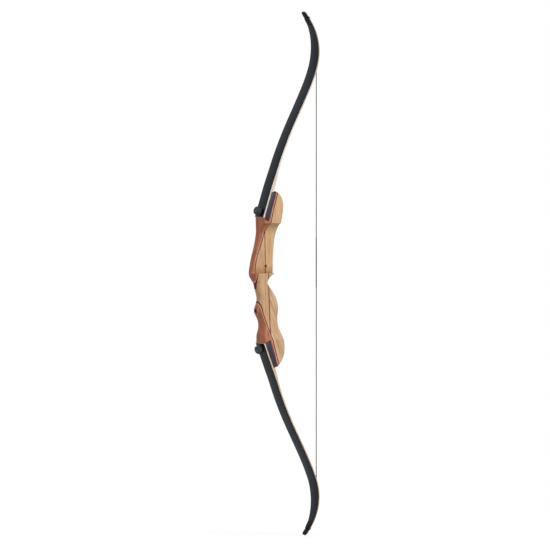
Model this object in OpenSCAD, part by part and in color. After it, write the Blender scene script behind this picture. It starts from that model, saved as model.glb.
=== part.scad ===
// Take-down recurve bow, right-handed, strung and at rest.
// The origin is the throat, the deepest point of the grip, in the bow's middle plane.
// +Z runs up to the upper limb, +X runs to the string and the archer,
// and -Y is the side on which the sight window is cut.

/* [Riser] */
// Height of the upper limb's shoulder above the throat
upper_shoulder = 192.6; // [186:0.1:200]
// Depth of the lower limb's shoulder below the throat
lower_shoulder = 175; // [170:0.1:182]
// Distance of the upper shoulder's edge in front of the throat
upper_shoulder_front = 24.7; // [22:0.1:27]
// Distance of the lower shoulder's edge in front of the throat
lower_shoulder_front = 22.1; // [20:0.1:25]
// Width of the riser at the throat
throat_w = 31; // [28:0.5:36]
// Width of the riser beside the sight window
window_body_w = 46; // [42:0.5:50]
// Distance that each shoulder lies behind the limb's face
shoulder_drop = 3.2; // [1:0.1:5]
// Radius of the grip's rounded edges
grip_round = 10; // [6:0.5:12]
// Radius of the front edges where the accent stripes run out
swell_round = 13; // [8:0.5:14]
// Radius of the ears' back edges
ear_round = 12; // [6:0.5:15]
// Radius of the front edges next to the shoulders
front_round = 3; // [1.5:0.5:5]

/* [Sight window] */
// Height of the arrow shelf above the throat
shelf_z = 28.7; // [26:0.1:32]
// Distance from the middle plane to the shelf's outer edge
shelf_reach = 16.7; // [15.5:0.1:19]
// Distance that the window is cut past the middle plane
window_past_centre = 1; // [0:0.5:4]
// Height above the throat at which the window starts to run out
window_top = 140; // [125:1:148]
// Radius of the window's run-out
run_out_r = 35; // [30:1:42]

/* [Laminations] */
// Thickness of the dark accent stripe in front of each ear
accent_t = 3.1; // [1:0.1:4]
// Thickness of the straight dark stripe
centre_stripe_t = 2.7; // [1:0.1:4]
// Distance of the straight stripe in front of the throat, at the throat's height
centre_stripe_front = 0.4; // [-3:0.1:4]
// Lean of the straight stripe, its top to the front
centre_stripe_lean = 1.2; // [0:0.1:2]
// Thickness of the hardwood layer under the upper pocket block, at its inner end
upper_under_t = 5.2; // [4:0.1:7]
// Thickness of the hardwood layer under the lower pocket block, at its inner end
lower_under_t = 6.6; // [5:0.1:8]
// Thickness of both hardwood layers at the pocket block's outer end
under_outer_t = 3.6; // [2:0.1:5]

/* [Limb pockets] */
// Angle of the upper pad from the vertical
upper_pad_angle = 18.8; // [17.5:0.1:19.5]
// Angle of the lower pad from the vertical
lower_pad_angle = 22; // [21:0.1:23]
// Thickness of a pocket block at its outer end
pocket_block_t = 13.2; // [11:0.1:15]
// Extra thickness of the upper pocket block at its inner end
upper_block_wedge = 2.4; // [0:0.1:4]
// Extra thickness of the lower pocket block at its inner end
lower_block_wedge = 4.4; // [2:0.1:6]
// Distance from the shoulder to a pocket block's outer end
pocket_block_out = 78.6; // [74:0.1:84]
// Distance that the upper pocket block reaches in behind its shoulder
upper_block_in = 6; // [3:0.5:8]
// Distance that the lower pocket block reaches in behind its shoulder
lower_block_in = 1.5; // [1:0.5:6]
// Thickness of the walls beside the limb
pocket_wall = 2.2; // [1.5:0.1:3.5]
// Distance that the limb's face stands in front of the walls
limb_proud = 6.2; // [4:0.1:8]

/* [Limbs] */
// Height of the upper limb from its butt to its tip
upper_limb_h = 592; // [580:0.1:604]
// Height of the lower limb from its butt to its tip
lower_limb_h = 560.4; // [550:0.1:572]
// Distance from the throat back to the limb faces where they come nearest the archer
recurve_x = 169.3; // [162:0.1:175]
// Width of the limbs
limb_w = 43; // [39:0.1:46]
// Width of the limb at the string grooves
nock_w = 19; // [17:0.5:25]
// Thickness of the limb at its butt
limb_butt_t = 13; // [11.5:0.1:14]
// Loss of thickness from the butt to the start of the fade-out
limb_base_taper = 1; // [0:0.1:2]
// Thickness of the limb where its wedge ends and it bends
limb_mid_t = 5.2; // [4.4:0.1:6.5]
// Thickness of the limb at its tip
limb_tip_t = 3.6; // [3.2:0.1:4.4]
// Thickness of the glass facings
glass_t = 1; // [0.6:0.1:1.2]
// Height of the upper fade-out's start above the limb's butt
upper_fade_h = 82; // [76:1:90]
// Height of the lower fade-out's start above the limb's butt
lower_fade_h = 50.4; // [46:0.1:56]
// Height of the upper wedge's end above the limb's butt
upper_bend_h = 177; // [165:1:190]
// Height of the lower wedge's end above the limb's butt
lower_bend_h = 145.4; // [135:0.1:158]
// Length of the tip overlay
overlay_l = 40; // [34:1:50]
// Thickness of the tip overlay
overlay_t = 2.5; // [1.5:0.1:3.5]
// Height of the string grooves below the tip
nock_from_tip = 17; // [14:0.5:20]
// Radius of the string grooves
groove_r = 2.2; // [2:0.1:2.6]

/* [Limb bolts] */
// Distance of the bolt from the limb's butt
bolt_from_butt = 15.2; // [13.5:0.1:18]
// Diameter of the bolt's thread
bolt_d = 7.94; // [6:0.01:9]
// Diameter of the knob
knob_d = 24.5; // [20:0.5:30]
// Height of the knob
knob_h = 15; // [12:0.5:18]
// Number of grips round the knob
knob_flutes = 24; // [12:1:32]
// Radius of each grip round the knob
flute_r = 0.9; // [0.5:0.1:1.2]
// Diameter of the washer
washer_d = 19; // [14:0.5:22]
// Thickness of the washer
washer_t = 3.5; // [1.5:0.1:4]
// Outside diameter of the threaded insert
insert_d = 12; // [11:0.1:14]
// Length of the threaded insert
insert_l = 16; // [12:0.5:20]
// Distance of the locating pin from the limb's butt
pin_from_butt = 45; // [38:0.5:60]
// Diameter of the locating pin
pin_d = 6; // [4:0.1:8]
// Height of the locating pin above the pocket's floor
pin_h = 5; // [3:0.5:7]
// Depth of the locating pin in the riser
pin_deep = 12; // [8:0.5:16]

/* [Bushings] */
// Depth of the stabilizer bushing below the throat
stabilizer_z = 80; // [76:0.5:84]
// Outside diameter of the stabilizer bushing
stabilizer_d = 12; // [10:0.1:14]
// Length of the stabilizer bushing
stabilizer_l = 20; // [14:0.5:24]
// Diameter of the stabilizer bushing's thread
stabilizer_thread_d = 7; // [6:0.1:8]
// Height of the rest bushing above the throat
rest_z = 49; // [44:0.5:56]
// Outside diameter of the rest bushing
rest_d = 10.5; // [9:0.1:12]
// Diameter of the rest bushing's thread
rest_thread_d = 7; // [5:0.1:8]
// Height of the lower sight insert above the throat
sight_z = 78; // [72:0.5:84]
// Distance between the two sight inserts
sight_spacing = 33.3; // [28:0.1:38]
// Outside diameter of a sight insert
sight_d = 7; // [6:0.1:9]
// Diameter of a sight insert's thread
sight_thread_d = 3.8; // [3:0.1:5]
// Length of a sight insert
sight_l = 10; // [7:0.5:13]

/* [String] */
// Height of the nocking point above the throat
nocking_z = 50; // [40:0.5:60]
// Diameter of the string
string_d = 2.4; // [1.8:0.1:3]
// Thickness of the thread wound on the string
serving_t = 0.3; // [0.2:0.05:0.5]
// Reach of the centre serving above the nocking point
serving_up = 77; // [50:1:110]
// Reach of the centre serving below the nocking point
serving_down = 66; // [50:1:110]
// Length of the end serving on the straight part of the string
end_serving_l = 60; // [30:1:90]
// Length of the loop from the string grooves to where it closes
loop_l = 28; // [24:0.5:36]

/* [Clearances] */
// Gap between the limb and its pocket's side walls and end
limb_gap = 0.3; // [0.2:0.05:0.6]
// Gap between the bolt and the limb's hole
bolt_gap = 0.4; // [0.3:0.05:0.8]
// Radial gap between the bolt and its insert
thread_gap = 0.05; // [0.02:0.01:0.09]
// Gap between the string and what it lies on
string_gap = 0.3; // [0.25:0.05:0.5]
// Gap between the locating pin and the limb's hole
pin_gap = 0.2; // [0.1:0.05:0.4]

/* [Hidden] */
$fn = 48;

// Both ends of the bow are written in one frame: x runs to the archer, and h is the height
// from the string's middle towards that end's tip. Values in a pair are for upper and lower.
upper = 0;
lower = 1;
tip_h = (upper_shoulder + upper_limb_h + lower_shoulder + lower_limb_h) / 2;
middle_z = upper_shoulder + upper_limb_h - tip_h;
pad_angle = [upper_pad_angle, lower_pad_angle];
butt_x = [-upper_shoulder_front, -lower_shoulder_front];
butt_h = [tip_h - upper_limb_h, tip_h - lower_limb_h];
mean_limb_h = (upper_limb_h + lower_limb_h) / 2;
pad_w = limb_w + 2 * (limb_gap + pocket_wall);
pad_half = pad_w / 2;
block_in = [upper_block_in, lower_block_in];
block_wedge = [upper_block_wedge, lower_block_wedge];
under_t = [upper_under_t, lower_under_t];
cut = 60;
fit = 0.01;

// A smooth curve through points [place, value], straight over its first stretch
function slope(k, i) = (k[i + 1][1] - k[i][1]) / (k[i + 1][0] - k[i][0]);
function tangent(k, i) =
    i <= 1 ? slope(k, 0)
    : i == len(k) - 1 ? slope(k, i - 1)
    : let (a = k[i][0] - k[i - 1][0], b = k[i + 1][0] - k[i][0])
      (slope(k, i - 1) * b + slope(k, i) * a) / (a + b);
function span(k, p, i = 0) = i >= len(k) - 2 || p < k[i + 1][0] ? i : span(k, p, i + 1);
function curve(k, p) =
    let (i = span(k, p), w = k[i + 1][0] - k[i][0], t = (p - k[i][0]) / w)
    k[i][1] * (2 * pow(t, 3) - 3 * t * t + 1) + k[i + 1][1] * (3 * t * t - 2 * pow(t, 3))
    + w * tangent(k, i) * (pow(t, 3) - 2 * t * t + t) + w * tangent(k, i + 1) * (pow(t, 3) - t * t);
function steps(a, b, n) = [for (i = [0:n]) a + (b - a) * i / n];
function backwards(v) = [for (i = [len(v) - 1:-1:0]) v[i]];

// A place on a pad: along it from the limb's butt, and its depth behind the limb's face
function pad(e, along, depth) = [
    butt_x[e] + along * sin(pad_angle[e]) + depth * cos(pad_angle[e]),
    butt_h[e] + along * cos(pad_angle[e]) - depth * sin(pad_angle[e])
];

// Depths of a pocket block's back and of an accent stripe's middle, at a place along the pad
function inner_share(e, along) = (pocket_block_out - along) / (pocket_block_out + block_in[e]);
function block_back(e, along) =
    limb_proud + pocket_block_t + block_wedge[e] * inner_share(e, along);
function accent_depth(e, along) =
    block_back(e, along) + under_outer_t + accent_t / 2
    + (under_t[e] - under_outer_t) * inner_share(e, along);

// The limb's face: height below the tip as a share of the limb's height, then the upper
// and the lower limb's distance in front of the recurve's rearmost place
limb_outer = [
    [0.7897, 145, 148.4], [0.7202, 129.3, 133.1], [0.6317, 106.4, 111.2], [0.5745, 90.1, 95.1],
    [0.4859, 63, 67.9], [0.4235, 44.1, 48.6], [0.3245, 17.1, 20.5], [0.2516, 3.6, 4.9],
    [0.1822, 0, 0], [0.1041, 8, 6.6], [0.0434, 24.3, 21.3], [0, 40.5, 37.3]
];
function limb_knots(e) = let (end = pad(e, pocket_block_out, 0)) concat(
    [[butt_h[e], butt_x[e]], [end[1], end[0]]],
    [for (k = limb_outer) let (h = tip_h - k[0] * mean_limb_h)
        if (h > end[1] + limb_w / 2) [h, recurve_x - k[1 + e]]]
);
upper_knots = limb_knots(upper);
lower_knots = limb_knots(lower);
function face_x(e, h) = curve(e == upper ? upper_knots : lower_knots, h);
function face_lean(e, h) = atan((face_x(e, h + 0.5) - face_x(e, h - 0.5)));

// The limb's thickness: nearly even on the pad, then a fade-out, then a slow taper
fade_h = [butt_h[upper] + upper_fade_h, butt_h[lower] + lower_fade_h];
bend_h = [butt_h[upper] + upper_bend_h, butt_h[lower] + lower_bend_h];
function limb_t(e, h) =
    h < fade_h[e]
        ? limb_butt_t - limb_base_taper * (h - butt_h[e]) / (fade_h[e] - butt_h[e])
    : h < bend_h[e]
        ? let (share = (1 - cos(180 * (h - fade_h[e]) / (bend_h[e] - fade_h[e]))) / 2)
          (limb_butt_t - limb_base_taper) * (1 - share) + limb_mid_t * share
    : limb_mid_t + (limb_tip_t - limb_mid_t) * (h - bend_h[e]) / (tip_h - bend_h[e]);
function limb_at(e, h, depth) = [
    face_x(e, h) + depth * cos(face_lean(e, h)), h - depth * sin(face_lean(e, h))
];

// The limb is straight from its butt to this height, and then bends and thins
function straight_h(e) = min(fade_h[e], butt_h[e] + pocket_block_out * cos(pad_angle[e]));
function base_places(e) = concat([butt_h[e]], steps(straight_h(e), bend_h[e], 13));
function outer_places(e) = steps(bend_h[e], tip_h, 44);

// Half of the limb's width at each height, as [height below the tip, half width]
width_knots = [
    [165, limb_w / 2], [140, limb_w / 2], [95, limb_w / 2 - 1.9], [72, limb_w / 2 - 3.9],
    [49, limb_w / 2 - 6.6], [nock_from_tip + 14, nock_w / 2 + 2.6],
    [nock_from_tip, nock_w / 2], [8, nock_w / 2 - 0.4]
];
width_places = [for (k = width_knots) [-k[0], k[1]]];
tip_round = 8;

// The riser seen from its side, as [height, distance behind the throat]
us = upper_shoulder;
ls = -lower_shoulder;
ends_past = pocket_block_out + 1.4;
front_knots = [
    [ls - ends_past, butt_x[lower] + shoulder_drop + ends_past * tan(lower_pad_angle)],
    [ls, butt_x[lower] + shoulder_drop],
    [ls + 11, -19.1], [ls + 22, -20.3], [ls + 45, -16.9], [ls * 0.674, -18.1],
    [ls * 0.611, -22], [ls * 0.543, -29.4], [ls * 0.48, -35.9], [ls * 0.423, -36.4],
    [ls * 0.343, -31.7], [ls * 0.28, -29.3], [ls * 0.211, -30.2], [ls * 0.143, -33.9],
    [ls * 0.08, -37.6], [ls * 0.011, -39.9], [shelf_z - 18.7, -46], [shelf_z - 7.7, -50],
    [shelf_z + 4.3, -48.1], [shelf_z + 15.3, -45.3], [shelf_z + 27.3, -42.9],
    [us * 0.41, -37], [us * 0.53, -30.3], [us * 0.649, -25], [us - 44, -21.5], [us - 20, -21.4],
    [us, butt_x[upper] + shoulder_drop],
    [us + ends_past, butt_x[upper] + shoulder_drop + ends_past * tan(upper_pad_angle)]
];
back_knots = [
    [ls - 72, 18], [ls - 69, 25], [ls - 61, 34.9], [ls - 49, 44.5], [ls - 27, 53.6],
    [ls - 15, 54.3], [ls + 8, 52], [ls + 20, 48.3], [ls + 32, 42.5], [ls + 44, 36.5],
    [ls * 0.68, 33.6], [ls * 0.554, 32.6], [ls * 0.417, 35.2], [ls * 0.286, 31],
    [ls * 0.217, 25.7], [ls * 0.154, 18.4], [ls * 0.086, 9.8], [ls * 0.04, 3.4], [0, 0],
    [shelf_z - 19.7, 2.6], [shelf_z - 8.7, 13], [shelf_z - 1.5, 23.6], [shelf_z + 5, 25],
    [shelf_z + 14.3, 25.2], [us * 0.405, 25.7], [us * 0.524, 27.8], [us * 0.644, 30.6],
    [us * 0.763, 35.8], [us - 22, 40.6], [us, 45.6],
    [us + 24, 49.9], [us + 36, 49.6], [us + 47, 47], [us + 59, 40.5], [us + 69, 30], [us + 74, 20]
];
// Distances from the middle plane to the riser's near and far sides
grip_w_knots = [
    [ls - ends_past, pad_half], [ls + 8, pad_half], [ls + 25, pad_half - 2.6],
    [ls * 0.663, throat_w / 2 + 2.5], [ls * 0.48, throat_w / 2 + 2],
    [ls * 0.229, throat_w / 2 + 0.5]
];
near_w_knots = concat(grip_w_knots, [
    [0, throat_w / 2], [shelf_z, shelf_reach], [window_top, pad_half - 4],
    [us - 14, pad_half - 0.2], [us, pad_half], [us + ends_past, pad_half]
]);
far_w_knots = concat(grip_w_knots, [
    [-12, throat_w / 2 + 0.5], [0, throat_w / 2 + 1.5], [10, throat_w / 2 + 3.5],
    [shelf_z - 8, window_body_w / 2 - 1], [shelf_z + 8, window_body_w / 2],
    [shelf_z + 30, window_body_w / 2], [window_top + 10, window_body_w / 2],
    [us - 14, pad_half], [us, pad_half], [us + ends_past, pad_half]
]);
front_round_knots = [
    [ls - ends_past, front_round], [ls + 20, front_round], [ls * 0.663, grip_round * 0.6],
    [ls * 0.526, swell_round - 2], [ls * 0.446, swell_round], [ls * 0.2, swell_round + 1],
    [shelf_z - 8.7, swell_round - 1], [shelf_z + 8, front_round + 3],
    [us * 0.312, front_round + 1], [us * 0.467, front_round], [us * 0.54, front_round],
    [us + ends_past, front_round]
];
back_round_knots = [
    [ls - ends_past, ear_round * 0.5], [ls - 60, ear_round * 0.8], [ls - 30, ear_round],
    [ls + 10, ear_round], [ls * 0.68, grip_round], [ls * 0.5, grip_round], [0, grip_round],
    [shelf_z - 8, swell_round], [shelf_z, swell_round], [shelf_z + 8, grip_round * 0.7],
    [shelf_z + 18, grip_round * 0.5], [shelf_z + 30, grip_round * 0.5],
    [window_top, ear_round * 0.5], [us, ear_round], [us + 40, ear_round],
    [us + 60, ear_round * 0.8], [us + 72, ear_round * 0.5]
];
corner_steps = 4;
riser_bottom = ls - 72;
riser_top = us + 74;
riser_places = concat(
    [riser_bottom, ls - 70.5, ls - 66, ls - 58], steps(ls - 48, -14, 26),
    [-7, 0, 6, 12, 17, 21, 25, shelf_z, shelf_z + 4, shelf_z + 9], steps(shelf_z + 16, us - 10, 14),
    steps(us, us + 48, 5), [us + 58, us + 66, us + 71, riser_top]
);
function corner(x, y, r, start) = [
    for (i = [0:corner_steps])
        [x + r * cos(start + 90 * i / corner_steps), y + r * sin(start + 90 * i / corner_steps)]
];
function riser_section(z) =
    let (
        front = curve(front_knots, z), back = curve(back_knots, z),
        near = curve(near_w_knots, z), far = curve(far_w_knots, z), most = min(near, far) - 1,
        fr = min(curve(front_round_knots, z), most), br = min(curve(back_round_knots, z), most)
    )
    [for (p = concat(
        corner(back - br, far - br, br, 0), corner(front + fr, far - fr, fr, 90),
        corner(front + fr, fr - near, fr, 180), corner(back - br, br - near, br, 270)
    )) [p[0], p[1], z]];

// The accent stripes' middle lines, as [height, distance behind the throat]
function accent_on_pad(e, along) = let (p = pad(e, along, accent_depth(e, along)))
    [e == upper ? middle_z + p[1] : middle_z - p[1], p[0]];
upper_accent_line = [
    [-32, -38], [-20, -38], [-10, -38.6], [shelf_z - 20.7, -40], [shelf_z - 10.7, -40],
    [shelf_z - 0.7, -38.6], [shelf_z + 15.3, -36.9], [us * 0.389, -31], [us * 0.545, -20],
    [us * 0.706, -9], [us - 40.6, -4.4], [us - 20.6, 0.8],
    accent_on_pad(upper, 30), accent_on_pad(upper, 60), accent_on_pad(upper, 110)
];
lower_accent_line = [
    accent_on_pad(lower, 110), accent_on_pad(lower, 40), accent_on_pad(lower, -2),
    [ls + 30, 1], [ls + 44, -4.5], [ls * 0.623, -12.9], [ls * 0.503, -20.6],
    [ls * 0.423, -25], [ls * 0.366, -27.8], [ls * 0.297, -31.5], [ls * 0.229, -36]
];
accent_lines = [upper_accent_line, lower_accent_line];
front_limits = [[-32, us + ends_past + 7], [ls - ends_past - 7, ls * 0.229]];
accent_places = [
    steps(front_limits[upper][0], front_limits[upper][1], 60),
    steps(front_limits[lower][0], front_limits[lower][1], 48)
];

// The string's place: it just clears the limbs' bellies where they come nearest the archer
serving_r = string_d / 2 + serving_t;
string_depth = serving_r + string_gap;
lift_places = steps(tip_h - 150, tip_h - 60, 90);
lift_x = [for (h = lift_places) max([for (e = [upper, lower])
    limb_at(e, h, limb_t(e, h) + string_depth)[0]])];
string_x = max(lift_x);
lift_h = [for (i = [0:len(lift_x) - 1]) if (lift_x[i] == string_x) lift_places[i]][0];
nock_h = tip_h - nock_from_tip;
nocking_h = [nocking_z - middle_z, middle_z - nocking_z];
stabilizer_front = curve(front_knots, -stabilizer_z) - 0.4;
window_y = window_past_centre;
rest_far = curve(far_w_knots, rest_z);
sight_far = curve(far_w_knots, sight_z);

// Places one end's frame: the lower end is the upper one's mirror image
module at_end(e) {
    translate([0, 0, middle_z]) mirror([0, 0, e]) children();
}

// Stands an outline of x and height up as a plate of a given width
module side_plate(width) {
    rotate([90, 0, 0]) linear_extrude(width, center = true) children();
}

// Puts z along the bolt's axis: 0 at the limb's face, and up to the front
module bolt_axis(e, along, depth = 0) {
    p = pad(e, along, depth);
    at_end(e) translate([p[0], 0, p[1]]) rotate([0, pad_angle[e] - 90, 0]) children();
}

module loft(rings, closed = false) {
    n = len(rings[0]);
    m = len(rings);
    last = closed ? m - 1 : m - 2;
    sides = [for (i = [0:last], j = [0:n - 1])
        let (k = (i + 1) % m, l = (j + 1) % n)
        each [[i * n + j, k * n + j, k * n + l], [i * n + j, k * n + l, i * n + l]]];
    ends = closed ? [] : [[for (j = [0:n - 1]) j], [for (j = [n - 1:-1:0]) (m - 1) * n + j]];
    polyhedron([for (r = rings) each r], concat(sides, ends));
}

// A round tube through the points; flat is a direction square to the path's plane
function unit(v) = v / norm(v);
function ring(p, t, flat, r, n) =
    let (u = unit(flat - (flat * t) * t), v = cross(t, u))
    [for (j = [0:n - 1]) p + r * (cos(360 * j / n) * u + sin(360 * j / n) * v)];
module tube(points, r, flat, closed = false, n = 8) {
    m = len(points);
    loft([for (i = [0:m - 1])
        let (
            a = points[closed ? (i + m - 1) % m : max(i - 1, 0)],
            b = points[closed ? (i + 1) % m : min(i + 1, m - 1)]
        )
        ring(points[i], unit(b - a), flat, r, n)], closed);
}

module riser_form() {
    loft([for (z = riser_places) riser_section(z)]);
}

module sight_window() {
    deep = cut + window_y;
    translate([-cut, -cut, shelf_z]) cube([2 * cut, deep, window_top - shelf_z]);
    translate([-cut, window_y - run_out_r, window_top])
        rotate([0, 90, 0]) cylinder(r = run_out_r, h = 2 * cut);
    translate([-cut, -cut, window_top]) cube([2 * cut, deep - run_out_r, run_out_r]);
}

// Holes that go through more than one of the riser's laminations
module riser_holes() {
    for (e = [upper, lower]) {
        bolt_axis(e, bolt_from_butt) translate([0, 0, -cut]) cylinder(d = insert_d, h = cut);
        bolt_axis(e, pin_from_butt) translate([0, 0, -limb_butt_t - pin_deep])
            cylinder(d = pin_d, h = limb_butt_t + pin_deep);
    }
    translate([stabilizer_front, 0, -stabilizer_z]) rotate([0, 90, 0])
        cylinder(d = stabilizer_d, h = stabilizer_l);
    translate([0, 0, rest_z]) rotate([90, 0, 0]) cylinder(d = rest_d, h = 2 * cut, center = true);
    for (i = [0, 1]) translate([0, sight_far - sight_l, sight_z + i * sight_spacing])
        rotate([-90, 0, 0]) cylinder(d = sight_d, h = cut);
}

// One lamination: the riser's form inside the outline that is given in x and z
module riser_piece() {
    difference() {
        intersection() {
            riser_form();
            side_plate(2 * cut) children();
        }
        sight_window();
        riser_holes();
    }
}

// Everything in front of an accent stripe's middle line, moved back by d
module front_area(e, d) {
    line = accent_lines[e];
    edge = [for (z = accent_places[e])
        let (a = atan(curve(line, z + 0.5) - curve(line, z - 0.5)))
        [curve(line, z) + d * cos(a), z - d * sin(a)]];
    polygon(concat(
        edge, [[-2 * cut, front_limits[e][1]], [-2 * cut, front_limits[e][0]]]
    ));
}

module behind_accents() {
    difference() {
        children();
        for (e = [upper, lower]) front_area(e, accent_t / 2);
    }
}

// A straight band along the centre stripe, from one distance to another behind its middle
module stripe_band(from, to) {
    translate([-centre_stripe_front, 0]) rotate(centre_stripe_lean)
        translate([from, -5 * cut]) square([to - from, 10 * cut]);
}

// A pocket block's side, run on outwards to a given place along the pad
module block_area(e, to) {
    points = [
        pad(e, -block_in[e], limb_proud), pad(e, to, limb_proud),
        pad(e, to, block_back(e, to)), pad(e, -block_in[e], block_back(e, -block_in[e]))
    ];
    translate([0, middle_z]) mirror([0, e]) polygon(points);
}

// The space on a pad that the limb and its walls stand in
module pad_space(e) {
    points = [
        pad(e, -fit, -cut), pad(e, 3 * cut, -cut),
        pad(e, 3 * cut, limb_proud + fit), pad(e, -fit, limb_proud + fit)
    ];
    translate([0, middle_z]) mirror([0, e]) polygon(points);
}

module front_block(e) {
    riser_piece() difference() {
        front_area(e, -accent_t / 2);
        block_area(e, 3 * cut);
        pad_space(e);
    }
}

module accent_stripe(e) {
    riser_piece() difference() {
        front_area(e, accent_t / 2);
        front_area(e, -accent_t / 2);
    }
}

module pocket_block(e) {
    a = limb_at(e, butt_h[e], limb_butt_t);
    t = limb_t(e, straight_h(e));
    b = limb_at(e, straight_h(e), t);
    floor_line = [a - (b - a) * 0.1, b, pad(e, 2 * pocket_block_out, t)];
    difference() {
        side_plate(pad_w) block_area(e, pocket_block_out);
        at_end(e) side_plate(limb_w + 2 * limb_gap) intersection() {
            polygon([
                pad(e, -limb_gap, -limb_proud), pad(e, -limb_gap, limb_butt_t),
                pad(e, pocket_block_out + 1, limb_butt_t),
                pad(e, pocket_block_out + 1, -limb_proud)
            ]);
            polygon(concat(floor_line, [
                pad(e, 3 * pocket_block_out, -limb_proud), pad(e, -limb_proud, -limb_proud)
            ]));
        }
        riser_holes();
    }
}

module bolt_insert(e) {
    sunk = 0.2;
    top = limb_t(e, butt_h[e] + bolt_from_butt * cos(pad_angle[e]));
    bolt_axis(e, bolt_from_butt, top + sunk) translate([0, 0, -insert_l]) difference() {
        cylinder(d = insert_d, h = insert_l);
        translate([0, 0, -1]) cylinder(d = bolt_d + 2 * thread_gap, h = insert_l + 2);
    }
}

module locating_pin(e) {
    bolt_axis(e, pin_from_butt, limb_butt_t) translate([0, 0, -pin_deep])
        cylinder(d = pin_d, h = pin_deep + pin_h);
}

// One strip of a limb: between two depths that the sides give at each height
module limb_strip(e, places, front_side, back_side) {
    at_end(e) intersection() {
        side_plate(2 * cut) polygon(concat(
            [for (i = [0:len(places) - 1]) limb_at(e, places[i], front_side[i])],
            [for (i = [len(places) - 1:-1:0]) limb_at(e, places[i], back_side[i])]
        ));
        limb_outline(e);
    }
}

// The limb seen from its face
module limb_outline(e) {
    side = concat(
        [[butt_h[e] - cut, limb_w / 2]],
        [for (s = steps(-150, -tip_round, 30)) [tip_h + s, curve(width_places, s)]],
        [for (a = [15:15:75]) let (w = curve(width_places, -tip_round))
            [tip_h - tip_round + tip_round * sin(a), w * cos(a) * 0.45 + w * 0.55]],
        [[tip_h + 1, nock_w / 4]]
    );
    points = concat([for (p = side) [p[1], p[0]]], [for (p = backwards(side)) [-p[1], p[0]]]);
    lean = face_lean(e, nock_h);
    difference() {
        translate([-cut, 0, 0]) rotate([90, 0, 90]) linear_extrude(5 * cut) polygon(points);
        for (y = [-1, 1]) translate([face_x(e, nock_h), y * nock_w / 2, nock_h])
            rotate([0, 90 + lean, 0]) cylinder(r = groove_r, h = cut, center = true);
    }
}

module limb_holes(e) {
    bolt_axis(e, bolt_from_butt) cylinder(d = bolt_d + 2 * bolt_gap, h = cut, center = true);
    bolt_axis(e, pin_from_butt, limb_butt_t) cylinder(
        d = pin_d + 2 * pin_gap, h = 2 * (pin_h + pin_gap), center = true);
}

module base_back_glass(e) {
    p = base_places(e);
    difference() {
        limb_strip(e, p, [for (h = p) 0], [for (h = p) glass_t]);
        limb_holes(e);
    }
}

module base_core(e) {
    p = base_places(e);
    difference() {
        limb_strip(e, p, [for (h = p) glass_t], [for (h = p) limb_mid_t - glass_t]);
        limb_holes(e);
    }
}

module limb_wedge(e) {
    p = base_places(e);
    difference() {
        limb_strip(e, p, [for (h = p) limb_mid_t - glass_t], [for (h = p) limb_t(e, h) - glass_t]);
        limb_holes(e);
    }
}

module base_belly_glass(e) {
    p = base_places(e);
    difference() {
        limb_strip(e, p, [for (h = p) limb_t(e, h) - glass_t], [for (h = p) limb_t(e, h)]);
        limb_holes(e);
    }
}

module limb_back_glass(e) {
    p = outer_places(e);
    limb_strip(e, p, [for (h = p) 0], [for (h = p) glass_t]);
}

module limb_core(e) {
    p = outer_places(e);
    limb_strip(e, p, [for (h = p) glass_t], [for (h = p) limb_t(e, h) - glass_t]);
}

module limb_belly_glass(e) {
    p = outer_places(e);
    limb_strip(e, p, [for (h = p) limb_t(e, h) - glass_t], [for (h = p) limb_t(e, h)]);
}

module tip_overlay(e) {
    p = [for (h = outer_places(e)) if (h > tip_h - overlay_l) h];
    rise = [for (h = p) -overlay_t * min(1, 0.15 + (h - p[0]) / 10)];
    limb_strip(e, p, rise, [for (h = p) 0]);
}

module knob(e) {
    edge = 1;
    shoulder = 5;
    r = knob_d / 2;
    bolt_axis(e, bolt_from_butt) translate([0, 0, washer_t]) difference() {
        rotate_extrude($fn = 72) polygon(concat(
            [[0, 0], [r - edge, 0], [r, edge]],
            [for (a = [0:10:70])
                [r - shoulder + shoulder * cos(a), knob_h - shoulder + shoulder * sin(a)]],
            [[r / 2, knob_h], [0, knob_h]]
        ));
        for (i = [0:knob_flutes - 1]) rotate(360 * i / knob_flutes)
            translate([r + flute_r / 2, 0, -1]) cylinder(r = flute_r, h = knob_h + 2, $fn = 24);
        translate([0, 0, -1]) cylinder(d = bolt_d, h = knob_h * 0.6 + 1);
    }
}

module bolt(e) {
    bolt_axis(e, bolt_from_butt) translate([0, 0, -limb_butt_t - insert_l - 1])
        cylinder(d = bolt_d, h = limb_butt_t + insert_l + 1 + washer_t + knob_h * 0.6);
}

module bolt_washer(e) {
    bolt_axis(e, bolt_from_butt, -fit) difference() {
        cylinder(d = washer_d, h = washer_t - 2 * fit);
        translate([0, 0, -1]) cylinder(d = bolt_d + 2 * thread_gap, h = washer_t + 2);
    }
}

module stabilizer_bushing() {
    translate([stabilizer_front, 0, -stabilizer_z]) rotate([0, 90, 0]) difference() {
        cylinder(d = stabilizer_d, h = stabilizer_l);
        translate([0, 0, -1]) cylinder(d = stabilizer_thread_d, h = stabilizer_l - 1);
    }
}

module rest_bushing() {
    proud = 0.3;
    translate([0, rest_far + proud, rest_z]) rotate([90, 0, 0]) difference() {
        cylinder(d = rest_d, h = rest_far - window_y + 2 * proud);
        translate([0, 0, -1]) cylinder(d = rest_thread_d, h = rest_far - window_y + 4);
    }
}

module sight_bushings() {
    for (i = [0, 1]) translate([0, sight_far - sight_l, sight_z + i * sight_spacing])
        rotate([-90, 0, 0]) difference() {
            cylinder(d = sight_d, h = sight_l);
            translate([0, 0, 1]) cylinder(d = sight_thread_d, h = sight_l);
        }
}

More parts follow.
